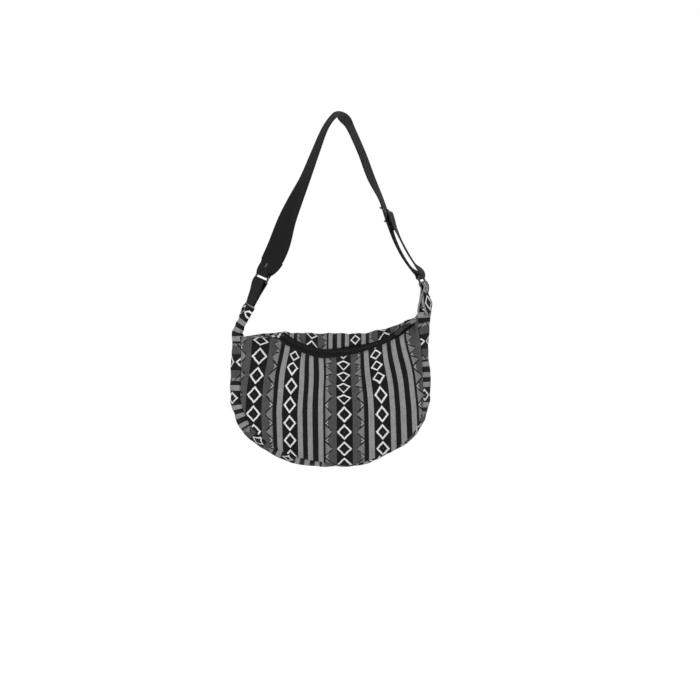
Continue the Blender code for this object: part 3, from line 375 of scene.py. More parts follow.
def woven_cloth(name):
    """Striped jacquard: lozenges, zigzags and plain bars, woven from black and undyed yarn."""
    nodes = Nodes(name)
    u, v = nodes.weave_map()
    column, row = (u / YARN).floor(), (v / YARN).floor()
    uq, vq = (column + 0.5) * YARN, (row + 0.5) * YARN
    count = (uq / REPEAT).floor()
    place = uq.wrap(REPEAT)
    ramp = nodes.add("ShaderNodeValToRGB", {}, i0=place / REPEAT)
    ramp.color_ramp.interpolation = "CONSTANT"
    stops = ramp.color_ramp.elements
    while len(stops) < len(STRIPES):
        stops.new(0.5)
    for stop, (start, tone) in zip(stops, STRIPES):
        stop.position = start / REPEAT
        stop.color = (tone, tone, tone, 1)
    tone = nodes.value(nodes.add("ShaderNodeRGBToBW", {}, i0=ramp.outputs[0]).outputs[0])

    # Across from the big lozenge's middle, and up from the nearest middle in its column.
    across = place - REPEAT * place.above(REPEAT / 2)
    up = (vq + PITCH / 2).wrap(PITCH) - PITCH / 2
    big, big_dot = lozenge(nodes, across, up, 10.3, 11.4, 0.29)
    small_up = (vq + count * (PITCH / 2) + PITCH / 2).wrap(PITCH) - PITCH / 2
    small, small_dot = lozenge(nodes, place - 50.4, small_up, 8.9, 11.6, 0.32)
    line = big.most(small)
    dots = big_dot.most(small_dot)

    # The zigzag band on both sides of the big lozenge, its points toward the lozenge.
    outer = (abs(across) - ZIGZAG_FROM) / ZIGZAG_WIDE
    inside = outer.above(0.0) * outer.below(1.0)
    rise = abs(up) / PITCH
    leg = 0.05 + 0.39 * outer
    away = rise - leg
    broken = nodes.grain(nodes.point((u / 2.6).floor(), (v / 2.6).floor())).above(0.16)
    stroke = abs(away).below(0.056) * outer.above(0.04) * outer.below(0.97) * inside * broken
    chevron = away.above(0.056) * away.below(0.13) * outer.above(0.62) * inside
    bed = away.below(-0.05) * inside

    # Yarns: some of the wrong colour show in the greys, and each differs a little.
    cell = nodes.point(column, row)
    fleck = nodes.grain(cell)
    tone = tone + bed * (MIDDLE - DARK)
    tone = tone + chevron * (PALE - tone)
    tone = tone + stroke * (BLACK - tone)
    tone = tone + line * (WHITE - tone)
    tone = tone + dots * 0.02
    heather = 0.74 + 0.52 * fleck
    weft = nodes.grain(nodes.point(row, 7.0))
    warp = nodes.grain(nodes.point(column, 3.0))
    broad = nodes.noise(nodes.point(u, v), 0.06, 3.0)
    tone = tone * heather * (0.9 + 0.1 * weft + 0.1 * warp) * (0.82 + 0.36 * broad)
    shift = tone.power(0.8) * 0.012
    colour = nodes.add("ShaderNodeCombineColor", {}, i0=tone + shift * 0.6, i1=tone + shift * 0.25,
                       i2=tone + shift)
    nodes.join(nodes.shader.inputs["Base Color"], colour.outputs[0])

    # Over and under: round yarns that swap at each crossing.
    over = (column + row).wrap(2.0)
    round_u = ((u / YARN) * math.pi).sine()
    round_v = ((v / YARN) * math.pi).sine()
    yarn = over * abs(round_u) + (1 - over) * abs(round_v)
    fuzz = nodes.noise(nodes.point(u, v), 2.2, 3.0)
    nodes.bump(yarn * 0.75 + fuzz * 0.5 + line * 0.35, 0.0004, 0.7)
    nodes.join(nodes.shader.inputs["Roughness"], 0.86 + 0.1 * fleck)
    nodes.shader.inputs["Specular IOR Level"].default_value = 0.06
    nodes.shader.inputs["Sheen Weight"].default_value = 0.02
    nodes.shader.inputs["Sheen Roughness"].default_value = 0.6
    return nodes.look


def black_web(name, tone=0.0125):
    """Flat black webbing: fine ribs along it and weft across."""
    nodes = Nodes(name)
    u, v = nodes.weave_map()
    rib = abs(((u / 1.15) * math.pi).sine())
    side = (u / 1.15).floor()
    pick = abs(((v / 0.55 + side * 0.5) * math.pi).sine())
    height = rib * 0.6 + pick * 0.5
    fuzz = nodes.noise(nodes.point(u, v), 1.6, 3.0)
    broad = nodes.noise(nodes.point(u, v), 0.035, 2.0)
    # The base colour is darker in the grooves between ribs and picks: painted shade. The broad noise and the fuzz
    # are random tone.
    groove_shaded_tone = tone * (0.55 + 0.6 * height) * (0.8 + 0.4 * broad) + fuzz * 0.004
    nodes.join(nodes.shader.inputs["Base Color"], nodes.mix(groove_shaded_tone * 20, (0, 0, 0, 1),
                                                            (0.05, 0.05, 0.052, 1)))
    nodes.bump(height + fuzz * 0.4, 0.00022, 0.7)
    nodes.join(nodes.shader.inputs["Roughness"], 0.62 + 0.2 * fuzz)
    nodes.shader.inputs["Specular IOR Level"].default_value = 0.03
    nodes.shader.inputs["Sheen Weight"].default_value = 0.0
    nodes.shader.inputs["Sheen Roughness"].default_value = 0.5
    return nodes.look


def plain_cloth(name, tone, yarn, rough=0.8):
    """Fine plain weave in one dark colour, for tapes and lining."""
    nodes = Nodes(name)
    u, v = nodes.weave_map()
    over = ((u / yarn).floor() + (v / yarn).floor()).wrap(2.0)
    height = over * abs(((u / yarn) * math.pi).sine()) + (1 - over) * abs(((v / yarn) * math.pi).sine())
    broad = nodes.noise(nodes.point(u, v), 0.08, 2.0)
    # The base colour is darker where each yarn dips under the next: painted shade. The broad noise is random
    # tone.
    groove_shaded_tone = (0.6 + 0.4 * height) * (0.8 + 0.4 * broad)
    nodes.join(nodes.shader.inputs["Base Color"],
               nodes.mix(groove_shaded_tone * 0.7, (0, 0, 0, 1), (tone / 0.7, tone / 0.7, tone / 0.7, 1)))
    nodes.bump(height, 0.0002, 0.7)
    nodes.join(nodes.shader.inputs["Roughness"], rough + 0.08 * broad)
    nodes.shader.inputs["Specular IOR Level"].default_value = 0.08
    return nodes.look


def object_point(nodes):
    return nodes.add("ShaderNodeTexCoord").outputs["Object"]


def dark_metal(name):
    """Blackened metal with fine scratches and worn, lighter spots."""
    nodes = Nodes(name)
    place = object_point(nodes)
    broad = nodes.noise(place, 180.0, 3.0)
    fine = nodes.noise(place, 1500.0, 2.0)
    nodes.join(nodes.shader.inputs["Base Color"],
               nodes.mix(broad, (0.028, 0.028, 0.030, 1), (0.075, 0.075, 0.08, 1)))
    nodes.shader.inputs["Metallic"].default_value = 1.0
    nodes.join(nodes.shader.inputs["Roughness"], 0.26 + 0.16 * broad)
    nodes.bump(fine, 0.00008, 0.4)
    return nodes.look


def black_plastic(name):
    nodes = Nodes(name)
    place = object_point(nodes)
    fine = nodes.noise(place, 2200.0, 2.0)
    broad = nodes.noise(place, 120.0, 2.0)
    nodes.join(nodes.shader.inputs["Base Color"],
               nodes.mix(broad, (0.010, 0.010, 0.011, 1), (0.020, 0.020, 0.021, 1)))
    nodes.join(nodes.shader.inputs["Roughness"], 0.4 + 0.12 * fine)
    nodes.shader.inputs["Specular IOR Level"].default_value = 0.3
    nodes.bump(fine, 0.00006, 0.35)
    return nodes.look


def thread_look(name, tone):
    nodes = Nodes(name)
    place = object_point(nodes)
    fine = nodes.noise(place, 2600.0, 2.0)
    nodes.join(nodes.shader.inputs["Base Color"],
               nodes.mix(fine, (tone * 0.6, tone * 0.6, tone * 0.6, 1), (tone, tone, tone, 1)))
    nodes.join(nodes.shader.inputs["Roughness"], 0.5 + 0.2 * fine)
    nodes.shader.inputs["Specular IOR Level"].default_value = 0.2
    nodes.bump(fine, 0.0001, 0.5)
    return nodes.look


woven = woven_cloth("striped_jacquard")
webbing = black_web("black_webbing")
tape_cloth = plain_cloth("zip_tape_weave", 0.012, 0.5)
lining_cloth = plain_cloth("lining_weave", 0.03, 0.4, 0.6)
coil_look = thread_look("zip_coil_nylon", 0.018)
black_thread = thread_look("black_thread", 0.02)
# The tack's pale grey thread is a painted highlight on the black strap.
highlight_thread = thread_look("grey_highlight_thread", 0.42)
metal = dark_metal("blackened_metal")
plastic = black_plastic("moulded_black_plastic")


# ---------------------------------------------------------------- the bag's surfaces

class Zip:
    """The arc that the zip lies on."""

    def __init__(self):
        left, low, right = (np.array(p) for p in (ZIP_LEFT, ZIP_LOW, ZIP_RIGHT))
        first, second = left - right, low - right
        normal = np.cross(first, second)
        toward = np.dot(first, first) * second - np.dot(second, second) * first
        self.centre = np.cross(toward, normal) / (2 * np.dot(normal, normal)) + right
        self.radius = np.linalg.norm(self.centre - left)
        self.normal = unit(normal)
        if self.normal[2] < 0:
            self.normal = -self.normal
        self.start = (left - self.centre) / self.radius
        self.side = np.cross(self.normal, self.start)
        end = (right - self.centre) / self.radius
        self.sweep = math.atan2(np.dot(end, self.side), np.dot(end, self.start)) % (2 * math.pi)
        self.length = self.radius * self.sweep

    def radial(self, share):
        turn = np.asarray(share)[..., None] * self.sweep
        return np.cos(turn) * self.start + np.sin(turn) * self.side

    def ahead(self, share):
        return np.cross(self.normal, self.radial(share))

    def at(self, share, out=0.0, up=0.0):
        out, up = np.asarray(out)[..., None], np.asarray(up)[..., None]
        return self.centre + (self.radius + out) * self.radial(share) + up * self.normal


arc = Zip()


def half_depth(z, corner_z):
    top = corner_z - TAB_TUCK
    share = ease((top - z) / (top - BOTTOM_Z))
    return CORNER_HALF_DEPTH + (BOTTOM_HALF_DEPTH - CORNER_HALF_DEPTH) * share


def seam_half_width():
    return BAG_WIDTH / 2 - SIDE_BULGE


RIGHT_SEAM_SHIFT = 5.4 * MM


def side_line(sign, front, steps):
    corner_z = LEFT_CORNER_Z if sign < 0 else RIGHT_CORNER_Z
    inset = 0.0 if sign < 0 else RIGHT_CORNER_INSET
    t = np.linspace(0, 1, steps + 1)
    z = corner_z + (SIDE_TURN_Z - corner_z) * t
    x = BAG_CENTRE_X + sign * (seam_half_width() - inset * (1 - ease(t)))
    if front and sign > 0:
        x = x + RIGHT_SEAM_SHIFT * ease(t / 0.35)
    half = half_depth(z, corner_z)
    return np.stack([x, -half if front else half, z], axis=-1)


def seam_shift(share):
    """How far out the front's seam lies along the bottom, where it hides the gusset."""
    reach = RIGHT_SEAM_SHIFT + 0.6 * MM * ease((1 - share) / 0.13)
    reach = reach + 4.6 * MM * np.exp(-((share - 0.83) / 0.09) ** 2)
    return reach * ease((share - 0.48) / 0.1)


def bottom_line(front, steps):
    turn = np.linspace(math.pi, 2 * math.pi, steps + 1)
    drop = SIDE_TURN_Z - BOTTOM_Z - BOTTOM_BULGE
    share = np.linspace(0, 1, steps + 1)
    z = SIDE_TURN_Z + drop * np.sin(turn)
    half = half_depth(z, LEFT_CORNER_Z + (RIGHT_CORNER_Z - LEFT_CORNER_Z) * share)
    outward = unit(np.stack([drop * np.cos(turn), seam_half_width() * np.sin(turn)], axis=-1))
    shift = seam_shift(share) if front else 0 * share
    x = BAG_CENTRE_X + seam_half_width() * np.cos(turn) + shift * outward[:, 0]
    return np.stack([x, -half if front else half, z + shift * outward[:, 1]], axis=-1)


COARSE = 24


# How much farther from the chain the cloth's edge lies than the tape's seam, along the zip.
BAND_PLACES = (-78, -50, -21, 14, 40, 56, 76, 92, 101)
FRONT_BAND = (0.0, 0.6, 4.6, -0.6, -3.6, -4.4, -3.4, -1.2, 0.0)
REAR_BAND = (0.0, 0.4, -1.6, 4.6, 3.0, 0.6, 0.0, 0.0, 0.0)


def cloth_edge(share, front):
    """Where a panel's edge lies beside the zip."""
    x = arc.at(share)[..., 0] / MM
    extra = np.interp(x, BAND_PLACES, FRONT_BAND if front else REAR_BAND) * MM
    return (ZIP_HALF_WIDTH + extra) * (1 if front else -1)


def top_line(front, fine):
    """A panel's top edge; fine steps for each of the solids' steps."""
    left, right = side_line(-1, front, 1)[0], side_line(1, front, 1)[0]
    out = ZIP_HALF_WIDTH if front else -ZIP_HALF_WIDTH
    first, last = arc.at(0.0, out), arc.at(1.0, out)
    lead = max(1, round(COARSE * abs(first[0] - left[0]) / abs(right[0] - left[0]))) * fine
    tail = max(1, round(COARSE * abs(right[0] - last[0]) / abs(right[0] - left[0]))) * fine
    middle = COARSE * fine - lead - tail
    t = np.linspace(0, 1, lead, endpoint=False)[:, None]
    ends = np.linspace(0, 1, tail + 1)[1:, None]
    shares = np.linspace(0, 1, middle + 1)
    along = arc.at(shares, cloth_edge(shares, front), 1.1 * MM * np.sin(math.pi * shares) ** 0.3)
    return np.concatenate([left + (first - left) * t, along, last + (right - last) * ends])


def eased(line, rounds):
    made = line.copy()
    for _ in range(rounds):
        made[1:-1] = 0.25 * made[:-2] + 0.5 * made[1:-1] + 0.25 * made[2:]
    return made


def coons(top, bottom, left, right, fine):
    across = np.linspace(0, 1, len(top))[None, :, None]
    down = np.linspace(0, 1, len(left))[:, None, None]
    settled = top[None] + (eased(top, 24 * fine * fine) - top)[None] * ease(down * 3)
    rails = (1 - down) * settled + down * bottom[None]
    sides = (1 - across) * left[:, None] + across * right[:, None]
    corners = ((1 - down) * ((1 - across) * top[0] + across * top[-1])
               + down * ((1 - across) * bottom[0] + across * bottom[-1]))
    return rails + sides - corners


def pillow(rows, columns):
    down = np.sin(math.pi * np.linspace(0, 1, rows + 1)) ** 0.75
    across = np.sin(math.pi * np.linspace(0, 1, columns + 1)) ** 0.65
    return down[:, None] * across[None, :]


def photo_places(grid):
    """Where points show in the photograph: its column and its row."""
    return PHOTO_X0 + grid[..., 0] / PIXEL, PHOTO_Z0 - grid[..., 2] / PIXEL


FAN_PLACES = (-110, -90, -62, -50, -40, -25, 0, 27, 40, 56, 66, 80)
FAN_HIGH = (5, 5.2, 5.6, 4.4, 3.2, 0.8, -2.0, -5.4, -6.0, -7.0, -7.6, -8.2)
SQUASH_PLACES = (-110, -90, -55, -25, 0, 20, 38, 60, 80)
SQUASH_FROM = (340, 345, 366, 384, 404, 392, 377, 368, 360)
RATE_PLACES = (-110, -89, -54, 0, 36, 70)
UPPER_RATE = (0.93, 0.935, 0.965, 1.0, 0.93, 0.96)


def front_weave(grid):
    """Cloth coordinates of the front: the stripes lean in toward the top and bunch up there."""
    px, py = photo_places(grid)
    wide = np.where(px > 344.4, 1.035, 1.0)
    base = (px - 344.4) / wide
    u = base
    high = np.clip((413 - py) / 58, 0, 1.3) ** 1.4
    low = np.clip((py - 413) / 40, 0, 1)
    for _ in range(4):
        lean = np.interp(u, FAN_PLACES, FAN_HIGH) * high
        spread = np.interp(u, (-110, -60, 0, 70), (2.0, 1.0, 0.0, 2.0)) * low
        wobble = 0.9 * np.sin(py / 11.0 + u / 14.0) * np.clip((400 - py) / 40, 0, 1)
        u = base - lean - spread - wobble
    u = np.minimum(u, 80.5)
    start = np.interp(u, SQUASH_PLACES, SQUASH_FROM)
    squashed = np.clip(start - py, 0, None)
    above, below = np.clip(413.2 - py, 0, None), np.clip(py - 413.2, 0, None)
    rate = np.interp(u, RATE_PLACES, UPPER_RATE)
    v = below + 0.0014 * below ** 2 - rate * above - (1.6 - rate) * squashed
    return np.stack([u * PIXEL, -v * PIXEL], axis=-1)


def front_folds(grid, cover):
    """Soft folds of the front, as a lift off its surface."""
    x, z = grid[..., 0], grid[..., 2]
    right = np.array([BAG_CENTRE_X + seam_half_width(), RIGHT_CORNER_Z])
    reach = np.hypot(x - right[0], z - right[1])
    around = np.arctan2(z - right[1], x - right[0])
    gathers = 3.4 * np.sin(7 * around) * np.exp(-((reach - 45 * MM) / (30 * MM)) ** 2)
    gathers += 1.0 * np.sin(17 * around + 1.0) * np.exp(-((reach - 28 * MM) / (20 * MM)) ** 2)
    under = np.hypot((x - ZIP_LEFT[0] - 10 * MM) / 1.8, z - ZIP_LEFT[2] + 26 * MM)
    creases = 3.0 * np.sin((z + 0.25 * x) / (4.6 * MM)) * np.exp(-(under / (20 * MM)) ** 2)
    px, py = photo_places(grid)
    start = np.interp(px - 344.4, SQUASH_PLACES, SQUASH_FROM)
    squash = np.clip((start - py) / 12, 0, 1) * np.clip((py - 338) / 12, 0, 1)
    creases += 1.1 * squash * np.sin((py + 0.2 * px) / 1.85 + 0.4 * waves(x, z, 60 * MM, 4))
    broad = 2.2 * waves(x, z, 120 * MM, 11) + 1.4 * waves(x, z, 46 * MM, 12)
    fine = 0.38 * waves(x, z, 14 * MM, 13)
    return (gathers + creases + broad + fine) * cover * MM


def seam_roll(surface, normals, rolls):
    """Turns a sheet's edges in toward the seams, given as distance, depth and radius."""
    drop, most = 0, 0
    for away, depth, radius in rolls:
        share = np.clip(1 - away / radius, 0, 1)
        drop = drop + depth * (1 - np.sqrt(np.clip(1 - share ** 2, 0, 1)))
        most = np.maximum(most, depth + 0 * away)
    return surface - normals * np.minimum(drop, most)[..., None]


def edge_distances(surface):
    """Distances along the grid from its first row, last row, first and last columns."""
    down = np.linalg.norm(np.diff(surface, axis=0), axis=-1)
    down = np.concatenate([np.zeros((1, surface.shape[1])), np.cumsum(down, axis=0)])
    across = np.linalg.norm(np.diff(surface, axis=1), axis=-1)
    across = np.concatenate([np.zeros((surface.shape[0], 1)), np.cumsum(across, axis=1)], axis=1)
    return down, down[-1:] - down, across, across[:, -1:] - across


def turned_normals(surface):
    normals = grid_normals(surface)
    if np.sum(normals * from_middle(surface)) < 0:
        normals = -normals
    return normals


def puckers(surface, distance, along, size, lift):
    """Short ripples square to a seam, dying away from it."""
    fade = np.exp(-(distance / (7 * MM)) ** 1.5)
    beat = along / size * 2 * math.pi
    return lift * fade * (np.sin(beat + 1.3 * np.sin(beat * 0.23)) * 0.6 + 0.4 * np.sin(beat * 0.61))


FINE = 8


def front_surface():
    rows, columns = 12 * FINE, COARSE * FINE
    left, right = side_line(-1, True, rows), side_line(1, True, rows)
    grid = coons(top_line(True, FINE), bottom_line(True, columns), left, right, FINE)
    cover = pillow(rows, columns)
    flat = grid.copy()
    flat[..., 1] -= FRONT_BULGE * cover
    weave = front_weave(flat)
    grid = flat.copy()
    grid[..., 1] -= front_folds(flat, cover)
    return grid, weave


def finish_panel(surface, seams, ripple=0.35 * MM):
    """Rolls the edges in and ripples them. seams give each sewn edge's depth and radius."""
    normals = turned_normals(surface)
    distances = edge_distances(surface)
    down, _, across, _ = distances
    lift = 0
    for k in seams:
        along = across if k < 2 else down
        lift = lift + puckers(surface, distances[k], along, 8.5 * MM, ripple)
    surface = surface + normals * np.asarray(lift)[..., None]
    return seam_roll(surface, normals, [(distances[k], *seams[k]) for k in seams])


def valley(count, first, last, depth, radius):
    """A seam's depth and radius: deeper and softer between two shares of its length."""
    share = np.linspace(0, 1, count)
    deep = ease((share - first) / 0.08) * ease((last - share) / 0.12)
    return (1.6 * MM + (depth - 1.6 * MM) * deep, 3.4 * MM + (radius - 3.4 * MM) * deep)


def zip_stitches(name, surface):
    """One row through cloth and tape, just below a panel's top edge."""
    normals = turned_normals(surface)
    down = edge_distances(surface)[0]
    columns = np.arange(surface.shape[1])
    rows = np.argmin(np.abs(down - 3.2 * MM), axis=0)
    x = surface[0, :, 0]
    columns = columns[(x > ZIP_LEFT[0] - 2 * MM) & (x < ZIP_RIGHT[0] + 2 * MM)]
    line = surface[rows[columns], columns]
    stitch_row(name, line, normals[rows[columns], columns], black_thread, 3.4 * MM, 2.5 * MM)


def build_front():
    surface, weave = front_surface()
    rows, columns = surface.shape[:2]
    low_depth, low_radius = valley(columns, 0.0, 0.52, 4.2 * MM, 9 * MM)
    side_depth, side_radius = valley(rows, 0.45, 1.2, 3.2 * MM, 7 * MM)
    surface = finish_panel(surface, {
        0: (0.5 * MM, 2.4 * MM), 1: (low_depth[None], low_radius[None]),
        2: (side_depth[:, None], side_radius[:, None]), 3: (1.6 * MM, 3.4 * MM)})
    zip_stitches("front_zip_stitches", surface)
    top, bottom = two_faces(surface, from_middle, CLOTH)
    piece = cloth_piece("front_cloth", top, bottom, weave, [woven])
    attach(piece, "root")
    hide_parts("front_panel")


def back_surface():
    rows, columns = 14 * FINE, COARSE * FINE
    left, right = side_line(-1, False, rows), side_line(1, False, rows)
    top = top_line(False, FINE)
    grid = coons(top, bottom_line(False, columns), left, right, FINE)
    down = np.linspace(0, 1, rows + 1) / RIDGE_PLACE
    hump = (down * np.exp(1 - down))[:, None]
    share = np.linspace(0, 1, columns + 1)
    ridge = LEFT_CORNER_Z + (RIGHT_CORNER_Z - LEFT_CORNER_Z) * share ** RIDGE_RISE_POWER
    fall = RIDGE_PLACE * (ridge - BOTTOM_Z) * 0.8
    lift = np.sin(math.pi * share) ** 0.4 * (ridge - top[:, 2] + fall)
    grid[..., 2] += lift[None, :] * hump
    grid[..., 1] += RIDGE_BACK * hump * np.sin(math.pi * share)[None, :] ** 0.8
    cover = pillow(rows, columns)
    grid[..., 1] += BACK_BULGE * cover
    return grid, cover


def build_back():
    grid, cover = back_surface()
    down, _, across, _ = edge_distances(grid)
    px, _ = photo_places(grid)
    gather = 0.80 + 0.20 * ease((down - 20 * MM) / (110 * MM))
    u = (312 - px) / gather
    weave = np.stack([u * PIXEL, -down], axis=-1)
    x, z = grid[..., 0], grid[..., 2]
    normals = turned_normals(grid)
    depth = ease(down / (12 * MM)) * cover ** 0.5
    near_ridge = np.exp(-((down - 30 * MM) / (34 * MM)) ** 2)
    gathers = 0.9 * np.sin(x / (3.6 * MM) + 1.6 * waves(x, z, 80 * MM, 21)) * near_ridge
    gathers += 0.8 * waves(x, z * 0.4, 26 * MM, 25) * near_ridge
    broad = 2.2 * waves(x, z, 130 * MM, 22) + 0.9 * waves(x, z, 50 * MM, 23) + 0.25 * waves(x, z, 14 * MM, 24)
    grid = grid + normals * ((gathers + broad) * depth * MM)[..., None]
    plain = (1.6 * MM, 3.4 * MM)
    surface = finish_panel(grid, {0: (0.5 * MM, 2.4 * MM), 1: plain, 2: plain, 3: plain})
    zip_stitches("rear_zip_stitches", surface)
    top, bottom = two_faces(surface, from_middle, CLOTH)
    piece = cloth_piece("back_cloth", top, bottom, weave, [woven])
    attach(piece, "root")
    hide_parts("back_panel")


SIDE_STEPS = 6
GUSSET_FINE = 8
GUSSET_ROWS = 48
GUSSET_START = -115      # the cloth's place at the left corner, in photograph pixels


def left_inset(z):
    """How much the cloth pulls in toward the left corner."""
    return 3.6 * MM * np.exp(-(np.maximum(LEFT_CORNER_Z - z, 0) / (42 * MM)) ** 2)


def right_swell(z):
    """How much the cloth stands out near the right corner."""
    return 5.0 * MM * np.exp(-(np.maximum(RIGHT_CORNER_Z - z, 0) / (34 * MM)) ** 2)


def gusset_surface():
    lines = []
    for front in (True, False):
        left = side_line(-1, front, SIDE_STEPS * GUSSET_FINE)
        bottom = bottom_line(front, COARSE * GUSSET_FINE)
        right = side_line(1, front, SIDE_STEPS * GUSSET_FINE)
        lines.append(np.concatenate([left[:-1], bottom, right[::-1][1:]]))
    front, back = lines
    ahead = np.gradient(front[:, [0, 2]], axis=0)
    outward = unit(np.stack([ahead[:, 1], -ahead[:, 0]], axis=-1))
    if outward[0, 0] > 0:
        outward = -outward
    low = np.clip((SIDE_TURN_Z - front[:, 2]) / (SIDE_TURN_Z - BOTTOM_Z - BOTTOM_BULGE), 0, 1)
    bulge = SIDE_BULGE + (BOTTOM_BULGE - SIDE_BULGE) * low ** 2
    on_left = front[:, 0] < BAG_CENTRE_X
    bulge = bulge - left_inset(front[:, 2]) * on_left + right_swell(front[:, 2]) * ~on_left
    rim = 0.25 * CLOTH
    width = back[:, 1] - front[:, 1]
    shift = np.hypot(front[:, 0] - back[:, 0], front[:, 2] - back[:, 2])
    bulge = bulge - shift / 2
    rows = []
    for k in range(GUSSET_ROWS + 1):
        share = k / GUSSET_ROWS
        y = front[:, 1] + rim + (width - 2 * rim) * share
        part = (y - front[:, 1]) / width
        lift = bulge * np.sin(math.pi * part)
        base = front + (back - front) * part[:, None]
        rows.append(np.stack([base[:, 0] + lift * outward[:, 0], y,
                              base[:, 2] + lift * outward[:, 1]], axis=-1))
    return np.array(rows)


def tongue(route, picks, side, depth, close, faded_from, ending):
    """The gusset's end, carried on over the tab's foot. ending is the gusset's last line."""
    along = np.zeros(len(route.line))
    along[picks] = np.linspace(1 / len(picks), 1, len(picks))
    offset = depth + (close - depth) * along
    width = 2 * CORNER_HALF_DEPTH * (1 - 0.26 * along ** 1.5)
    shares = np.linspace(1, -1, GUSSET_ROWS + 1)
    grid = np.array([route.row(share, offset, width)[picks] for share in shares])
    corner = int(picks[0]) + side
    start = np.array([route.row(share, np.full_like(offset, depth), 2 * CORNER_HALF_DEPTH + 0 * width)[corner]
                      for share in shares])
    fade = 1 - ease((along[picks] - faded_from) / (1 - faded_from))
    return grid + (ending - start)[:, None] * fade[None, :, None]


def build_gusset():
    grid = gusset_surface()
    route, _, thick, depth = left_tab_route()
    left = tongue(route, np.arange(25, 46), -1, depth, thick + 0.9 * MM, 0.0, grid[:, 0])
    route, close, depth = right_tab_route()
    right = tongue(route, np.arange(59, 44, -1), 1, depth, close + 4.6 * MM, 0.0, grid[:, -1])
    start = left.shape[1]
    grid = np.concatenate([left[:, ::-1], grid, right], axis=1)
    middle = grid[GUSSET_ROWS // 2]
    reach = np.concatenate([[0], np.cumsum(np.linalg.norm(np.diff(middle, axis=0), axis=1))])
    u = (reach - reach[start]) / PIXEL + GUSSET_START
    rows = grid.shape[0]
    weave = np.stack([np.tile(u * PIXEL, (rows, 1)), grid[..., 1]], axis=-1)
    normals = turned_normals(grid)
    across = np.linspace(0, 1, rows)[:, None]
    cover = np.sin(math.pi * across) ** 0.6 * np.ones_like(u)[None]
    s = np.tile(reach, (rows, 1))
    y = grid[..., 1]
    ends = np.exp(-(s / (30 * MM)) ** 2) + np.exp(-((reach[-1] - s) / (34 * MM)) ** 2)
    folds = 1.5 * np.sin(y / (3.3 * MM) + 0.6) * ends
    folds += 1.0 * waves(s, y, 70 * MM, 31) + 0.45 * waves(s, y, 26 * MM, 32)
    folds += 0.2 * waves(s, y, 11 * MM, 33)
    free = ease(s / (9 * MM)) * ease((reach[-1] - s) / (9 * MM))
    grid = grid + normals * (folds * cover * free * MM)[..., None]
    front_depth, front_radius = valley(grid.shape[1], 0.16, 0.52, 3.6 * MM, 8 * MM)
    surface = finish_panel(grid, {0: (front_depth[None], front_radius[None]), 1: (1.6 * MM, 3.4 * MM)},
                           0.14 * MM)
    top, bottom = two_faces(surface, from_middle, CLOTH)
    piece = cloth_piece("gusset_cloth", top, bottom, weave, [woven])
    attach(piece, "root")
    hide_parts("gusset")


def build_linings():
    """Three thin sheets inside, trimmed as the solids are."""
    fine = 3
    rows = {"front": 12 * fine, "back": 14 * fine}
    front = front_surface()[0][::4, ::4]
    back = back_surface()[0][::4, ::4]
    gusset = gusset_surface()[::3, ::4]
    for name, grid, inset in (("lining_front", front, (4, 2)), ("lining_back", back, (4, 2)),
                              ("lining_gusset", gusset, (2, 4))):
        normals = turned_normals(grid)
        depth = 3.5 * MM if name == "lining_gusset" else 7 * MM
        outer = grid - normals * (CLOTH + depth)
        inner = outer - normals * 0.5 * MM
        outer, inner = (g[inset[0]:-inset[0], inset[1]:-inset[1]] for g in (outer, inner))
        weave = np.stack([outer[..., 0] + outer[..., 1], outer[..., 2]], axis=-1)
        piece = cloth_piece(name + "_sheet", outer, inner, weave, [lining_cloth])
        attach(piece, "root")
        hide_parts(name)


def build_facings():
    """The cloth that closes the bag between each tab and the zip's end."""
    for name, sign in (("top_facing_left", -1), ("top_facing_right", 1)):
        pick, share = (0, 0.0) if sign < 0 else (-1, 1.0)
        near = np.array([side_line(sign, True, 1)[0], arc.at(share, ZIP_HALF_WIDTH)])
        far = np.array([side_line(sign, False, 1)[0], arc.at(share, -ZIP_HALF_WIDTH)])
        steps, rows = 40, 40
        reach = SIDE_BULGE - (8.0 if sign < 0 else 4.4) * MM
        t = np.linspace(0, 1, steps + 1)[:, None]
        near = near[0] + (near[1] - near[0]) * t
        far = far[0] + (far[1] - far[0]) * t
        grid = []
        for k in range(rows + 1):
            line = near + (far - near) * (0.02 + 0.96 * k / rows)
            bulge = np.cos(math.pi / 2 * (2 * k / rows - 1)) * reach
            line[:, 0] += sign * bulge * (1 - t[:, 0]) ** 2
            line[:, 2] -= 1.0 * MM
            grid.append(line)
        grid = np.array(grid)
        x, y = grid[..., 0], grid[..., 1]
        across = np.sin(math.pi * np.linspace(0, 1, rows + 1))[:, None]
        fold = (1.3 * np.sin(y / (3.0 * MM)) + 0.6 * waves(x, y, 14 * MM, 41)) * across
        grid[..., 2] += fold * MM
        weave = np.stack([y + 0.036, x], axis=-1)
        top, bottom = two_faces(grid, lambda s: np.array([0, 0, 1.0]) + 0 * s, CLOTH)
        piece = cloth_piece(name + "_cloth", top, bottom, weave, [woven])
        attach(piece, "root")
        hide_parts(name)


# ---------------------------------------------------------------- strips: strap, loop, tabs

def section(share, width, crown):
    place = share * width / 2
    swing = math.pi / 2 * place / CORNER_HALF_DEPTH
    drop = SIDE_BULGE * crown * (1 - np.cos(swing))
    slope = SIDE_BULGE * crown * np.sin(swing) * math.pi / 2 / CORNER_HALF_DEPTH
    size = np.sqrt(1 + slope ** 2)
    return place, drop, slope / size, 1 / size


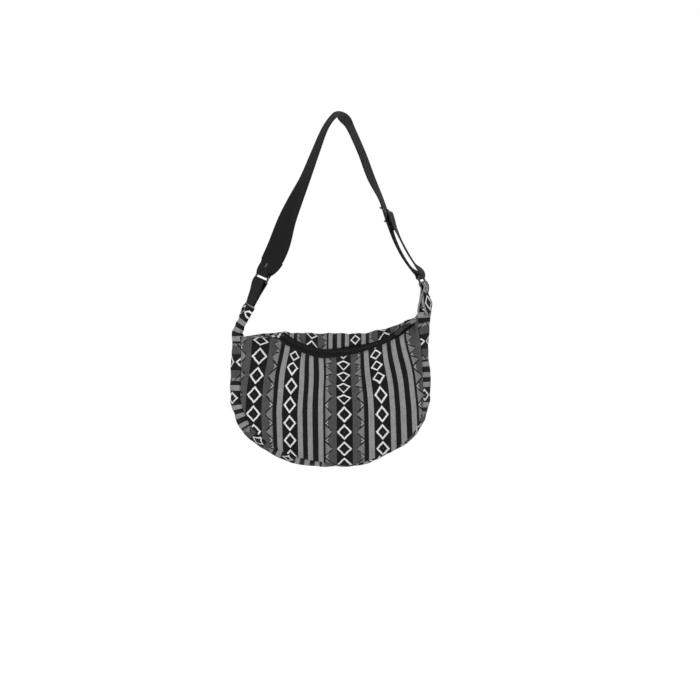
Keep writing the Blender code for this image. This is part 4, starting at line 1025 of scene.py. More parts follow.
class Route:
    """A strip's centre line, with its turn from edge-on, its crown, width and depth below it."""

    def __init__(self, stations, steps):
        pts = smooth_route(stations, steps)
        self.line = pts[:, :3]
        turn = np.radians(pts[:, 3])[:, None]
        self.crown, self.width, self.sink = pts[:, 4], pts[:, 5], pts[:, 6]
        self.ahead = unit(np.gradient(self.line, axis=0))
        flat = np.array([0.0, 1.0, 0.0])
        self.out = unit(np.cross(self.ahead, flat))
        self.bar = -np.cos(turn) * flat - np.sin(turn) * self.out
        self.face = np.cos(turn) * self.out - np.sin(turn) * flat
        step = np.linalg.norm(np.diff(self.line, axis=0), axis=1)
        self.reach = np.concatenate([[0], np.cumsum(step)])

    def row(self, share, offset, width):
        place, drop, along, lift = section(share, width, self.crown)
        high = offset - self.sink
        across = (place + along * high)[:, None]
        depth = (lift * high - drop)[:, None]
        return self.line + self.bar * across + self.face * depth

    def strand(self, offset, thick, columns, width=None):
        width = self.width if width is None else width
        shares = np.linspace(-1, 1, columns + 1)
        outer = np.array([self.row(s, offset + thick / 2, width) for s in shares])
        inner = np.array([self.row(s, offset - thick / 2, width) for s in shares])
        return outer.transpose(1, 0, 2), inner.transpose(1, 0, 2)


def cut(grids, first=0, last=None, turned=False):
    step = -1 if turned else 1
    return [grid[first:last][::step] for grid in grids]


def bend(centre, radius, axes, start, stop, thick, columns, steps=16):
    up, face, bar = axes
    outer, inner = [], []
    for k in range(1, steps):
        turn = start + (stop - start) * k / steps
        ray = math.cos(turn) * face + math.sin(turn) * up
        for grid, reach in ((outer, radius + thick / 2), (inner, radius - thick / 2)):
            spot = centre + reach * ray
            grid.append([spot + bar * WEB_WIDTH * (j / columns - 0.5) for j in range(columns + 1)])
    return np.array(outer), np.array(inner)


def strip_piece(name, pieces, look, first=0.0, swapped=False):
    """One strip from stretches that each give the grids of its two faces."""
    top = np.concatenate([piece[0] for piece in pieces])
    low = np.concatenate([piece[1] for piece in pieces])
    middle = (top + low)[:, top.shape[1] // 2] / 2
    reach = first + np.concatenate([[0], np.cumsum(np.linalg.norm(np.diff(middle, axis=0), axis=1))])
    across = np.concatenate([[0], np.cumsum(np.linalg.norm(np.diff(top[len(top) // 2], axis=0), axis=1))])
    across = across - across[-1] / 2
    u, v = np.meshgrid(across, reach)
    weave = np.stack([v, u] if swapped else [u, v], axis=-1)
    return cloth_piece(name, top, low, weave, [look])


def ring_axes(lean, turn):
    up = np.array([math.sin(lean), 0.0, math.cos(lean)])
    outward = np.array([-math.cos(lean), 0.0, math.sin(lean)])
    if lean < 0:
        outward = -outward
    bar = np.array([0.0, -math.cos(turn), 0.0]) - math.sin(turn) * outward
    face = math.cos(turn) * outward + np.array([0.0, -math.sin(turn), 0.0])
    return up, face, bar


LEFT_AXES = ring_axes(LEFT_RING_LEAN, LEFT_RING_TURN)
RIGHT_AXES = ring_axes(RIGHT_RING_LEAN, RIGHT_RING_TURN)


def bar_centre(place, up, side):
    return np.array([place[0], 0.0, place[1]]) + side * up * (RING_CLEAR_HEIGHT / 2 + RING_WIRE)


def station(point, turn, crown=0.0, width=WEB_WIDTH, sink=0.0):
    return (*point, turn, crown, width, sink)


def flat_station(x, z, turn):
    return station((x, 0.0, z), turn)


def arm_stations(ring, rows):
    return [flat_station(ring[0] * z * MM / ring[1] + aside * MM, z * MM, turn)
            for aside, z, turn in rows]


def adjuster_ends():
    return [(RIGHT_RING[0] * z * MM / RIGHT_RING[1] + aside * MM, z * MM)
            for aside, z in (ADJUSTER_TOP, ADJUSTER_FOOT)]


def strap_route(steps, lower_turn=None):
    reach = RING_WIRE + RING_SLACK + WEB / 2
    up, face, _ = LEFT_AXES
    start = bar_centre(LEFT_RING, up, 1) + face * reach
    stations = [station(start, math.degrees(LEFT_RING_TURN)),
                station(start + up * RING_LEAD, math.degrees(LEFT_RING_TURN) + 4)]
    stations += arm_stations(LEFT_RING, LEFT_ARM)
    stations += [flat_station(STRAP_TOP[0] * MM, STRAP_TOP[1] * MM, STRAP_TOP[2])]
    stations += arm_stations(RIGHT_RING, RIGHT_ARM)
    top, foot = adjuster_ends()
    half = [(a + b) / 2 for a, b in zip(top, foot)]
    stations += [flat_station(*place, ADJUSTER_TURN) for place in (top, half)]
    stations += [flat_station(*foot, 8 if lower_turn is None else lower_turn)]
    lower = arm_stations(RIGHT_RING, LOWER_RIGHT_ARM)
    if lower_turn is not None:
        lower = [station(row[:3], lower_turn) for row in lower]
    stations += lower
    up, face, _ = RIGHT_AXES
    end = bar_centre(RIGHT_RING, up, 1) - face * reach
    stations += [station(end + up * RING_LEAD, math.degrees(RIGHT_RING_TURN)),
                 station(end, math.degrees(RIGHT_RING_TURN))]
    return Route(stations, steps)


def adjuster_axes():
    top, foot = adjuster_ends()
    down = unit([foot[0] - top[0], 0.0, foot[1] - top[1]])
    out = np.cross(down, np.array([0.0, 1.0, 0.0]))
    turn = math.radians(ADJUSTER_TURN)
    flat = np.array([0.0, 1.0, 0.0])
    return (down, math.cos(turn) * out - math.sin(turn) * flat,
            -math.cos(turn) * flat - math.sin(turn) * out)


def adjuster_centre():
    top = adjuster_ends()[0]
    return np.array([top[0], 0.0, top[1]]) + adjuster_axes()[0] * ADJUSTER_PLACE


CENTRE_BAR = 1.5 * WEB + 2 * GAP + ADJUSTER_BAR / 2


def highlight_tack_spot(route, face, share, aside):
    """A point of the tack on the strap's outer face and the way up from it. The tack is stitching in pale grey
    thread, the pale colour a painted highlight on the black strap.
    """
    px, py = 267.0 - 2.5 * share, 263.6 + 3.6 * share
    target = np.array([(px - PHOTO_X0) * PIXEL + aside, (PHOTO_Z0 - py) * PIXEL])
    near = route.reach < 60 * MM
    away = np.hypot(face[near][..., 0] - target[0], face[near][..., 2] - target[1])
    row, column = np.unravel_index(np.argmin(away), away.shape)
    up = grid_normals(face)[row, column]
    up = up if up[1] < 0 else -up
    spot = face[row, column].copy()
    spot[0], spot[2] = target[0], target[1]
    return spot, up


def build_strap():
    """Sewn tail, left ring, top, adjuster, right ring, adjuster, tail, in one length."""
    columns = 32
    route = strap_route(16)
    count = len(route.line)
    total = route.reach[-1]
    radius = RING_WIRE + RING_SLACK + WEB / 2

    # The left arm cups a little along its middle, as it hangs twisted.
    cup = np.exp(-((route.reach - 75 * MM) / (48 * MM)) ** 2)
    shares = np.linspace(-1, 1, columns + 1)
    main = []
    for offset in (WEB / 2, -WEB / 2):
        rows = []
        for s in shares:
            lift = offset - 4.0 * MM * cup * max(0.0, 1 - abs(s - 0.1)) ** 1.5 + 0.8 * MM * cup
            rows.append(route.row(s, lift, route.width))
        main.append(np.array(rows).transpose(1, 0, 2))
    up, face, bar = LEFT_AXES
    close = WEB + GAP
    apart = close + (2 * radius - close) * (1 - ease(route.reach / (TAIL_LENGTH * 0.7)))
    tail = []
    for offset in (WEB / 2, -WEB / 2):
        rows = [route.row(s, offset - apart - 4.0 * MM * cup * max(0.0, 1 - abs(s - 0.1)) ** 1.5 + 0.8 * MM * cup,
                          route.width) for s in shares]
        tail.append(np.array(rows).transpose(1, 0, 2))
    tail_end = int(np.searchsorted(route.reach, TAIL_LENGTH)) + 1
    pieces = [cut(tail, 0, tail_end, True)]
    pieces += [bend(bar_centre(LEFT_RING, up, 1), radius, LEFT_AXES, math.pi, 2 * math.pi, WEB, columns)]
    pieces += [main]
    up, face, bar = RIGHT_AXES
    pieces += [bend(bar_centre(RIGHT_RING, up, 1), radius, RIGHT_AXES, math.pi, 2 * math.pi, WEB,
                    columns)]
    down, face, bar = adjuster_axes()
    centre = adjuster_centre()
    loop = ADJUSTER_BAR / 2 + GAP + WEB / 2
    far = CENTRE_BAR + loop
    from_ring = total - route.reach
    near_ring = ease(from_ring / (30 * MM))
    top_of_loop = np.dot(route.line - centre, down)
    after_top = (route.line[:, 0] > adjuster_ends()[0][0]) & (top_of_loop > 0.5 * MM)
    first = int(np.argmax(after_top))
    below = top_of_loop - ADJUSTER_LENGTH
    bow = RETURN_BOW * np.sin(math.pi * np.clip(below / np.maximum(below + from_ring, MM), 0.001, 0.999)) ** 0.6
    apart = 2 * radius + (far - 2 * radius) * near_ring + bow
    back = strap_route(16, RETURN_TURN).strand(apart, WEB, columns)
    pieces += [cut(back, first, None, True)]
    middle = centre + face * CENTRE_BAR
    pieces += [bend(middle, loop, (-down, face, bar), 0, math.pi, WEB, columns)]
    tail = route.strand(np.full(count, WEB + GAP), WEB, columns)
    tail_stop = first + int(np.sum((top_of_loop[first:] < TAIL_LENGTH)))
    pieces += [cut(tail, first, tail_stop)]

    # Keep the two faces on their own sides where the strip turns back.
    pieces[0] = pieces[0][::-1]
    pieces[3] = pieces[3][::-1]
    pieces[4] = pieces[4][::-1]
    pieces[5] = pieces[5][::-1]
    # Three rows of tack stitches in pale grey thread, a painted highlight on the black strap.
    for k, aside in enumerate((0.0, 0.5 * MM, 1.0 * MM)):
        spots = [highlight_tack_spot(route, main[0], share, aside) for share in np.linspace(0, 1, 9)]
        line, ups = (np.array([spot[i] for spot in spots]) for i in (0, 1))
        stitch_row("tack_highlight_thread_%d" % k, line, ups, highlight_thread, 1.9 * MM, 1.8 * MM)
    piece = strip_piece("strap_webbing", pieces, webbing)
    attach(piece, "root")
    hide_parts("shoulder_strap")
    return route


TAB_STEPS = 12


def tab_half_thickness():
    return WEB + 2 * GAP + CLOTH


def left_tab_route():
    edge = LEFT_SIDE_X + 3.6 * MM
    thick = tab_half_thickness()
    depth = CLOTH + TAB_SPACE + thick
    base = TAB_BASE_WIDTH
    stations = [station((edge, 0.0, LEFT_CORNER_Z - drop), 0, 1, base, depth)
                for drop in (TAB_TUCK, TAB_TUCK / 2, 0)]
    for inward, z, turn, crown in LEFT_TAB_ROUTE:
        width = base + (SLEEVE_WIDTH - base) * min(1.0, 1.5 * (1 - crown))
        place = (LEFT_SIDE_X + inward * MM + 3.6 * MM * crown ** 2, 0.0, z * MM)
        stations.append(station(place, turn, crown, width, depth * crown))
    mouth = (len(stations) - 1) * TAB_STEPS
    up = LEFT_AXES[0]
    end = bar_centre(LEFT_RING, up, -1)
    turn = math.degrees(LEFT_RING_TURN)
    halfway = (np.array(stations[-1][:3]) + end) / 2
    stations += [station(halfway, turn - 2), station(end - up * RING_LEAD, turn), station(end, turn)]
    return Route(stations, TAB_STEPS), mouth, thick, depth


def build_left_tab():
    route, mouth, thick, _ = left_tab_route()
    columns = 24
    end = bar_centre(LEFT_RING, LEFT_AXES[0], -1)
    shares = np.linspace(-1, 1, columns + 1)
    reach = route.reach[:mouth + 1]
    full = route.reach[mouth]
    puff = thick + 2.0 * MM * ease((route.reach - full + 26 * MM) / (16 * MM)) * ease(
        (full + 3 * MM - route.reach) / (8 * MM))

    def fold(share, side):
        """Crinkles of the sleeve: across near its mouth, lengthwise at its foot."""
        lift = 1.1 * waves(reach, np.full_like(reach, share * 20 * MM + side * 50 * MM), 13 * MM, 51)
        lift += 0.5 * np.sin(share * 9 + side) * ease(1 - reach / (34 * MM))
        return lift * MM * (0.35 + 0.65 * (1 - abs(share)))

    outer, inner, weave = [], [], []
    for side, order in ((1, shares), (-1, shares[::-1])):
        for share in order:
            lean = puff * (1.0 - 0.55 * abs(share) ** 6)
            place = route.row(share, side * lean, route.width)[:mouth + 1]
            lift = fold(share, side)[:, None] * route.face[:mouth + 1]
            outer.append(place + side * lift)
            inner.append(route.row(share, side * (lean - CLOTH), route.width - 2 * CLOTH)[:mouth + 1]
                         + side * lift * 0.6)
            across = side * share * 21 * MM + (0 if side > 0 else 42 * MM)
            weave.append(np.stack([GUSSET_START * PIXEL - reach + reach[2 * TAB_STEPS],
                                   np.full_like(reach, across)], axis=-1))
    weave = np.array(weave)
    loops = [np.array(g).transpose(1, 0, 2) for g in (outer, inner, weave)]
    piece = sleeve_piece("left_tab_cloth", *loops, woven)
    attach(piece, "root")
    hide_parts("left_tab")

    radius = RING_WIRE + RING_SLACK + WEB / 2
    close = (WEB + GAP) / 2
    from_end = route.reach[-1] - route.reach
    apart = close + (radius - close) * (1 - ease(from_end / (20 * MM)))
    first = int(np.searchsorted(route.reach, route.reach[mouth] - WEB_TUCK))
    width = np.full(len(route.line), WEB_WIDTH)
    near = route.strand(-apart, WEB, columns, width)
    far = route.strand(apart, WEB, columns, width)
    pieces = [cut(near, first)[::-1],
              bend(end, radius, LEFT_AXES, math.pi, 0, WEB, columns),
              cut(far, first, None, True)]
    piece = strip_piece("left_loop_webbing", pieces, webbing)
    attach(piece, "root")
    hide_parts("left_webbing_loop")


def sleeve_piece(name, outer, inner, weave, look):
    """A closed tube wall between two stacks of closed loops, open at both ends."""
    stations, count = outer.shape[:2]
    points = np.concatenate([outer.reshape(-1, 3), inner.reshape(-1, 3)])
    uvs = np.concatenate([weave.reshape(-1, 2)] * 2)
    under = stations * count
    faces = []
    for i in range(stations - 1):
        for j in range(count):
            k = (j + 1) % count
            ring = (i * count + j, i * count + k, (i + 1) * count + k, (i + 1) * count + j)
            faces.append(ring)
            faces.append(tuple(under + v for v in reversed(ring)))
    for i, turned in ((0, True), (stations - 1, False)):
        for j in range(count):
            k = (j + 1) % count
            ring = (i * count + j, i * count + k, under + i * count + k, under + i * count + j)
            faces.append(tuple(reversed(ring)) if turned else ring)
    if volume_of(points, faces) < 0:
        faces = [tuple(reversed(f)) for f in faces]
    return mesh_piece(name, points, faces, uvs, [look])


def right_tab_route():
    up = RIGHT_AXES[0]
    top = bar_centre(RIGHT_RING, up, -1)
    turn = math.degrees(RIGHT_RING_TURN)
    edge = RIGHT_SIDE_X - RIGHT_CORNER_INSET
    depth = CLOTH + TAB_SPACE + CLOTH + GAP / 2
    stations = [station(top, turn, 0, TAB_WIDTH, 0), station(top - up * RING_LEAD, turn, 0, TAB_WIDTH, 0)]
    for inward, z, route_turn, crown in RIGHT_TAB_ROUTE[::-1]:
        width = TAB_WIDTH + (TAB_BASE_WIDTH - TAB_WIDTH) * crown
        place = (RIGHT_SIDE_X - inward * MM, 0.0, z * MM)
        stations.append(station(place, route_turn, crown, width, depth * crown))
    for drop in (0.0, TAB_TUCK / 2, TAB_TUCK):
        stations.append(station((edge, 0.0, RIGHT_CORNER_Z - drop), 0, 1, TAB_BASE_WIDTH, depth))
    return Route(stations, TAB_STEPS), 1.5 * CLOTH + 0.5 * MM, depth


def build_right_tab():
    columns = 24
    route = right_tab_route()[0]
    top = bar_centre(RIGHT_RING, RIGHT_AXES[0], -1)
    radius = RING_WIRE + RING_SLACK + CLOTH / 2
    close = (CLOTH + GAP) / 2
    apart = close + (radius - close) * (1 - ease(route.reach / (20 * MM)))
    near = route.strand(-apart, CLOTH, columns)
    far = route.strand(apart, CLOTH, columns)
    pieces = [cut(near, 0, None, True)[::-1],
              bend(top, radius, RIGHT_AXES, math.pi, 0, CLOTH, columns),
              far]
    piece = strip_piece("right_tab_cloth", pieces, woven)
    layer = piece.data.uv_layers["weave"].data
    for item in layer:
        item.uv[0] = 58 * MM - item.uv[0]
    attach(piece, "root")
    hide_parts("right_tab")


def build_right_sleeve():
    """The tab's cloth puffs out where it is folded round itself above the corner."""
    route = right_tab_route()[0]
    picks = np.arange(17, 58)
    z = route.line[picks, 2] / MM
    half = np.interp(-z, (247, 251, 257, 266, 276, 284), (2.0, 4.6, 6.2, 6.2, 5.4, 4.0)) * MM
    wide = np.interp(-z, (247, 252, 262, 276), (30, 34, 34, 31)) * MM
    count = 56
    outer, inner, weave = [], [], []
    reach = route.reach[picks] - route.reach[17]
    for k in range(count):
        turn = 2 * math.pi * k / count
        across = math.copysign(abs(math.cos(turn)) ** 0.8, math.cos(turn))
        lift = math.sin(turn)
        ripple = 0.55 * MM * waves(reach, np.full_like(reach, 12 * MM * turn), 12 * MM, 61)
        ripple = ripple * ease(reach / (6 * MM))
        rings = []
        for inset in (0.0, CLOTH):
            away = (half - inset + ripple) * lift
            spot = (route.line[picks] + route.bar[picks] * ((wide / 2 - inset + ripple) * across)[:, None]
                    + route.face[picks] * away[:, None])
            rings.append(spot)
        outer.append(rings[0])
        inner.append(rings[1])
        round_way = (turn + math.pi) % (2 * math.pi) - math.pi
        weave.append(np.stack([35.5 * MM + np.full_like(reach, round_way * 12.5 * MM), -0.2634 - z * MM],
                              axis=-1))
    loops = [np.array(g).transpose(1, 0, 2) for g in (outer, inner, weave)]
    piece = sleeve_piece("right_tab_sleeve", *loops, woven)
    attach(piece, "root")


# ---------------------------------------------------------------- zip

def build_zip():
    shares = np.linspace(0, 1, 193)
    for name, node, front in (("zip_tape_front_weave", "zip_tape_front", True),
                              ("zip_tape_rear_weave", "zip_tape_rear", False)):
        sign = 1 if front else -1
        edge = np.maximum(sign * cloth_edge(shares, front) + 0.4 * MM, ZIP_HALF_WIDTH - 1.6 * MM)
        tops, lows = [], []
        for part in np.linspace(0, 1, 9):
            out = 0.5 * MM + (edge - 0.5 * MM) * part
            up = -GAP - 0.3 * np.maximum(out - ZIP_HALF_WIDTH, 0)
            tops.append(arc.at(shares, sign * out, up))
            lows.append(arc.at(shares, sign * out, up - 0.8 * MM))
        across = np.linspace(0, ZIP_HALF_WIDTH, 9)
        weave = np.stack(np.meshgrid(shares * arc.length, across), axis=-1)
        piece = cloth_piece(name, np.array(tops), np.array(lows), weave, [tape_cloth])
        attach(piece, "root")
        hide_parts(node)


def coil_piece(name, sign):
    """One side's coil: nylon wire wound round, flattened, with an end at both stops."""
    pitch, points_a_turn, sides, wire = 1.5 * MM, 8, 5, 0.3 * MM
    margin = (STOP_LENGTH + 2 * GAP) / arc.length
    turns = arc.length * (1 - 2 * margin) / pitch
    count = int(turns * points_a_turn)
    swing = 2 * math.pi * np.arange(count + 1) / points_a_turn + (math.pi if sign < 0 else 0)
    shares = np.linspace(margin, 1 - margin, count + 1)
    out = COIL_SPREAD - 0.02 * MM + 0.76 * MM * np.cos(swing)
    line = arc.at(shares, sign * out, COIL_RADIUS + 0.45 * MM * np.sin(swing))
    ahead = unit(np.gradient(line, axis=0))
    side = unit(np.cross(ahead, arc.normal))
    up = np.cross(side, ahead)
    angles = 2 * math.pi * np.arange(sides) / sides
    rings = line[:, None] + wire * (np.cos(angles)[None, :, None] * side[:, None]
                                    + np.sin(angles)[None, :, None] * up[:, None])
    return tube_piece(name, rings, [coil_look])


def tube_piece(name, rings, looks):
    """A closed tube through rings of points, its ends closed by fans."""
    count, sides = rings.shape[:2]
    points = np.concatenate([rings.reshape(-1, 3), rings[:1].mean(axis=1), rings[-1:].mean(axis=1)])
    faces = []
    for i in range(count - 1):
        for j in range(sides):
            k = (j + 1) % sides
            faces.append((i * sides + j, i * sides + k, (i + 1) * sides + k, (i + 1) * sides + j))
    first, last = count * sides, count * sides + 1
    for j in range(sides):
        k = (j + 1) % sides
        faces.append((j, first, k))
        faces.append(((count - 1) * sides + k, last, (count - 1) * sides + j))
    if volume_of(points, faces) < 0:
        faces = [tuple(reversed(f)) for f in faces]
    return mesh_piece(name, points, faces, np.zeros((len(points), 2)), looks)


def stitch_row(name, line, ups, look, pitch, length, radius=0.24 * MM, body="root"):
    """Stitches along a line of points on cloth; each dips into the cloth at its ends."""
    step = np.linalg.norm(np.diff(line, axis=0), axis=1)
    reach = np.concatenate([[0], np.cumsum(step)])
    places = np.arange(pitch / 2, reach[-1], pitch)
    sides, parts = 5, np.linspace(-1, 1, 5)
    points, faces = [], []
    for place in places:
        middle = []
        for part in parts:
            at = np.clip(place + part * length / 2, 0, reach[-1])
            spot = np.array([np.interp(at, reach, line[:, k]) for k in range(3)])
            up = unit(np.array([np.interp(at, reach, ups[:, k]) for k in range(3)]))
            middle.append((spot + up * radius * (0.9 - 1.5 * part ** 4), up))
        ahead = unit(middle[-1][0] - middle[0][0])
        base = len(points)
        for part, (spot, up) in zip(parts, middle):
            side = unit(np.cross(ahead, up))
            size = radius * (1 - 0.5 * part ** 4)
            for k in range(sides):
                turn = 2 * math.pi * k / sides
                points.append(spot + size * (math.cos(turn) * side + math.sin(turn) * up))
        for i in range(len(parts) - 1):
            for j in range(sides):
                k = (j + 1) % sides
                faces.append((base + i * sides + j, base + i * sides + k,
                              base + (i + 1) * sides + k, base + (i + 1) * sides + j))
        for i, turned in ((0, False), (len(parts) - 1, True)):
            points.append(middle[i][0])
            for j in range(sides):
                k = (j + 1) % sides
                fan = (base + i * sides + k, base + i * sides + j, len(points) - 1)
                faces.append(tuple(reversed(fan)) if turned else fan)
    if volume_of(points, faces) < 0:
        faces = [tuple(reversed(f)) for f in faces]
    piece = mesh_piece(name, points, faces, np.zeros((len(points), 2)), [look])
    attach(piece, body)


def alone():
    if bpy.context.object and bpy.context.object.mode != "OBJECT":
        bpy.ops.object.mode_set(mode="OBJECT")
    bpy.ops.object.select_all(action="DESELECT")


def pick(piece, test):
    """Selects the points that pass a test, in edit mode."""
    bpy.ops.object.mode_set(mode="EDIT")
    bpy.ops.mesh.select_mode(type="VERT")
    bpy.ops.mesh.select_all(action="DESELECT")
    bpy.ops.object.mode_set(mode="OBJECT")
    for point in piece.data.vertices:
        point.select = bool(test(point.co))
    bpy.ops.object.mode_set(mode="EDIT")


def worked(piece, kind, **settings):
    change = piece.modifiers.new(kind.lower(), kind)
    for key, value in settings.items():
        setattr(change, key, value)
    bpy.context.view_layer.objects.active = piece
    bpy.ops.object.modifier_apply(modifier=change.name)


def bar_stock(size, place=(0, 0, 0)):
    """A plain bar to be shaped, its place already in its mesh."""
    alone()
    bpy.ops.mesh.primitive_cube_add(size=1, location=place)
    piece = bpy.context.object
    bpy.ops.object.mode_set(mode="EDIT")
    bpy.ops.transform.resize(value=size)
    bpy.ops.object.mode_set(mode="OBJECT")
    bpy.ops.object.transform_apply(location=True, rotation=True, scale=True)
    return piece


def round_bar(radius, length, place, along="Y"):
    alone()
    turn = (math.radians(90), 0, 0) if along == "Y" else (0, 0, 0)
    bpy.ops.mesh.primitive_cylinder_add(vertices=20, radius=radius, depth=length, location=place,
                                        rotation=turn)
    piece = bpy.context.object
    bpy.ops.object.transform_apply(location=True, rotation=True, scale=True)
    return piece


def joined(pieces):
    alone()
    for piece in pieces:
        piece.select_set(True)
    bpy.context.view_layer.objects.active = pieces[0]
    if len(pieces) > 1:
        bpy.ops.object.join()
    return pieces[0]


def fitted(piece, name, origin, axes, look, body, node, angle=35):
    """Puts a shape that was made at the origin where its solid is."""
    x, y, z = (np.asarray(a, dtype=float) for a in axes)
    if np.dot(np.cross(x, y), z) < 0:
        y = -y
    rows = [[x[k], y[k], z[k], float(origin[k])] for k in range(3)]
    alone()
    piece.select_set(True)
    bpy.context.view_layer.objects.active = piece
    piece.data.transform(Matrix(rows + [[0, 0, 0, 1]]))
    bpy.ops.object.shade_smooth_by_angle(angle=math.radians(angle))
    piece.name = piece.data.name = name
    piece.data.materials.clear()
    piece.data.materials.append(look)
    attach(piece, body)
    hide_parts(node)
    return piece


def build_ring(name, node, body, place, axes):
    """A rectangle of round wire with rounded corners."""
    up, face, bar = axes
    alone()
    bpy.ops.mesh.primitive_plane_add(size=1)
    piece = bpy.context.object
    bpy.ops.object.mode_set(mode="EDIT")
    wide = RING_CLEAR_WIDTH + 2 * RING_WIRE
    high = RING_CLEAR_HEIGHT + 2 * RING_WIRE
    bpy.ops.transform.resize(value=(wide, high, 1))
    bpy.ops.mesh.bevel(offset=RING_CORNER, offset_type="OFFSET", segments=8, affect="VERTICES")
    bpy.ops.mesh.delete(type="ONLY_FACE")
    bpy.ops.object.mode_set(mode="OBJECT")
    bpy.ops.object.convert(target="CURVE")
    piece = bpy.context.object
    piece.data.bevel_depth = RING_WIRE
    piece.data.bevel_resolution = 5
    bpy.ops.object.convert(target="MESH")
    piece = bpy.context.object
    fitted(piece, name, (place[0], 0.0, place[1]), (bar, up, face), metal, body, node, 80)


def build_slider():
    """Two plates round the chain, narrower behind, their side lips, a post and the pull's bridge."""
    share = 1 - SLIDER_FROM_END / arc.length
    over = 2 * COIL_RADIUS + GAP
    beneath = -GAP - TAPE - GAP
    parts = []
    for height in (over + SLIDER_PLATE / 2, beneath - SLIDER_PLATE / 2):
        plate = bar_stock((SLIDER_LENGTH, SLIDER_WIDTH, SLIDER_PLATE), (0, 0, height))
        pick(plate, lambda co: co.x < 0)
        bpy.ops.transform.resize(value=(1, 0.66, 1))
        bpy.ops.object.mode_set(mode="OBJECT")
        worked(plate, "BEVEL", width=0.42 * MM, segments=3, limit_method="NONE")
        parts.append(plate)
    for side in (-1, 1):
        lip = bar_stock((SLIDER_LENGTH * 0.5, 0.6 * MM, 0.9 * MM),
                        (SLIDER_LENGTH * 0.2, side * (SLIDER_WIDTH / 2 - 0.45 * MM), over - 0.2 * MM))
        worked(lip, "BEVEL", width=0.2 * MM, segments=2, limit_method="NONE")
        parts.append(lip)
    tall = over - beneath + SLIDER_PLATE
    post = bar_stock((SLIDER_LENGTH * 0.55, 0.4 * MM, tall), (0, 0, (over + beneath) / 2))
    parts.append(post)
    alone()
    bpy.ops.mesh.primitive_torus_add(major_segments=40, minor_segments=12, major_radius=1.0,
                                     minor_radius=0.14, rotation=(math.radians(90), 0, 0))
    bridge = bpy.context.object
    bpy.ops.object.transform_apply(location=False, rotation=True, scale=True)
    bpy.ops.object.mode_set(mode="EDIT")
    bpy.ops.mesh.select_all(action="SELECT")
    bpy.ops.mesh.bisect(plane_co=(0, 0, -0.08), plane_no=(0, 0, -1), use_fill=True, clear_outer=True)
    bpy.ops.mesh.select_all(action="SELECT")
    bpy.ops.transform.resize(value=(3.4 * MM, 5.4 * MM, BRIDGE_INSIDE + BRIDGE_BAR / 2),
                             center_override=(0, 0, 0))
    bpy.ops.transform.translate(value=(0, 0, over + SLIDER_PLATE))
    bpy.ops.object.mode_set(mode="OBJECT")
    parts.append(bridge)
    axes = (arc.ahead(share), arc.radial(share), arc.normal)
    fitted(joined(parts), "slider_body", arc.at(share), axes, metal, "slider", "zip_slider")


def build_pull():
    """A flat pull with a window round the bridge."""
    share = 1 - SLIDER_FROM_END / arc.length
    height = 2 * COIL_RADIUS + GAP + SLIDER_PLATE + PULL_THICK / 2 + GAP
    half, bar = PULL_WIDTH / 2, PULL_THICK / 2
    inner = half - PULL_WALL
    alone()
    bpy.ops.mesh.primitive_grid_add(x_subdivisions=6, y_subdivisions=3, size=1)
    piece = bpy.context.object
    long = (-bar, bar, bar + PULL_WINDOW, bar + PULL_WINDOW + PULL_WALL, PULL_LENGTH - half,
            PULL_LENGTH - 0.35 * half, PULL_LENGTH)
    wide = ((1.0, 1.0, 0.94, 0.90, 1.0, 0.82, 0.42))
    for point in piece.data.vertices:
        i, j = round((point.co.x + 0.5) * 6), round((point.co.y + 0.5) * 3)
        across = (-half, -inner, inner, half)[j] * (wide[i] if i > 3 or j in (0, 3) else 1)
        point.co = (long[i], across, 0)
    bpy.ops.object.mode_set(mode="EDIT")
    bpy.ops.mesh.select_mode(type="FACE")
    bpy.ops.mesh.select_all(action="DESELECT")
    bpy.ops.object.mode_set(mode="OBJECT")
    for face in piece.data.polygons:
        face.select = abs(face.center.y) < inner and bar < face.center.x < bar + PULL_WINDOW
    bpy.ops.object.mode_set(mode="EDIT")
    bpy.ops.mesh.delete(type="FACE")
    bpy.ops.object.mode_set(mode="OBJECT")
    worked(piece, "SOLIDIFY", thickness=PULL_THICK, offset=0)
    worked(piece, "BEVEL", width=0.3 * MM, segments=3, limit_method="ANGLE")
    axes = (-arc.ahead(share), arc.radial(share), arc.normal)
    fitted(piece, "pull_tab", arc.at(share, 0, height), axes, metal, "pull", "zip_pull")


def build_adjuster():
    """A flat buckle: two rails, flat end bars under the strap and a round middle bar."""
    down, face, bar = adjuster_axes()
    low = -WEB / 2 - GAP - 0.8 * ADJUSTER_BAR
    brow = -WEB / 2 - GAP
    end = ADJUSTER_LENGTH / 2
    rail_place = WEB_WIDTH / 2 + 2 * GAP + ADJUSTER_RAIL / 2
    parts = []
    for side in (-1, 1):
        rail = bar_stock((ADJUSTER_LENGTH, ADJUSTER_RAIL, CENTRE_BAR + ADJUSTER_BAR / 2 - low),
                         (0, side * rail_place, (CENTRE_BAR + ADJUSTER_BAR / 2 + low) / 2))
        bpy.ops.object.mode_set(mode="EDIT")
        bpy.ops.mesh.select_all(action="SELECT")
        bpy.ops.mesh.subdivide(number_cuts=3)
        bpy.ops.object.mode_set(mode="OBJECT")
        top = CENTRE_BAR + ADJUSTER_BAR / 2
        for point in rail.data.vertices:
            arch = min(1.0, 1.18 * (1 - abs(point.co.x) / end))
            roof, under = brow + (top - brow) * arch, low + (top - ADJUSTER_BAR - low) * arch
            point.co.z = under + (point.co.z - low) / (top - low) * (roof - under)
        worked(rail, "BEVEL", width=0.35 * MM, segments=3, limit_method="ANGLE", angle_limit=0.6)
        parts.append(rail)
    for side in (-1, 1):
        cross = bar_stock((ADJUSTER_BAR, 2 * rail_place, brow - low),
                          (side * (end - ADJUSTER_BAR / 2), 0, (low + brow) / 2))
        worked(cross, "BEVEL", width=0.4 * MM, segments=3, limit_method="ANGLE")
        parts.append(cross)
    parts.append(round_bar(ADJUSTER_BAR / 2, 2 * rail_place, (0, 0, CENTRE_BAR)))
    fitted(joined(parts), "buckle", adjuster_centre(), (down, bar, face), plastic, "buckle", "adjuster")


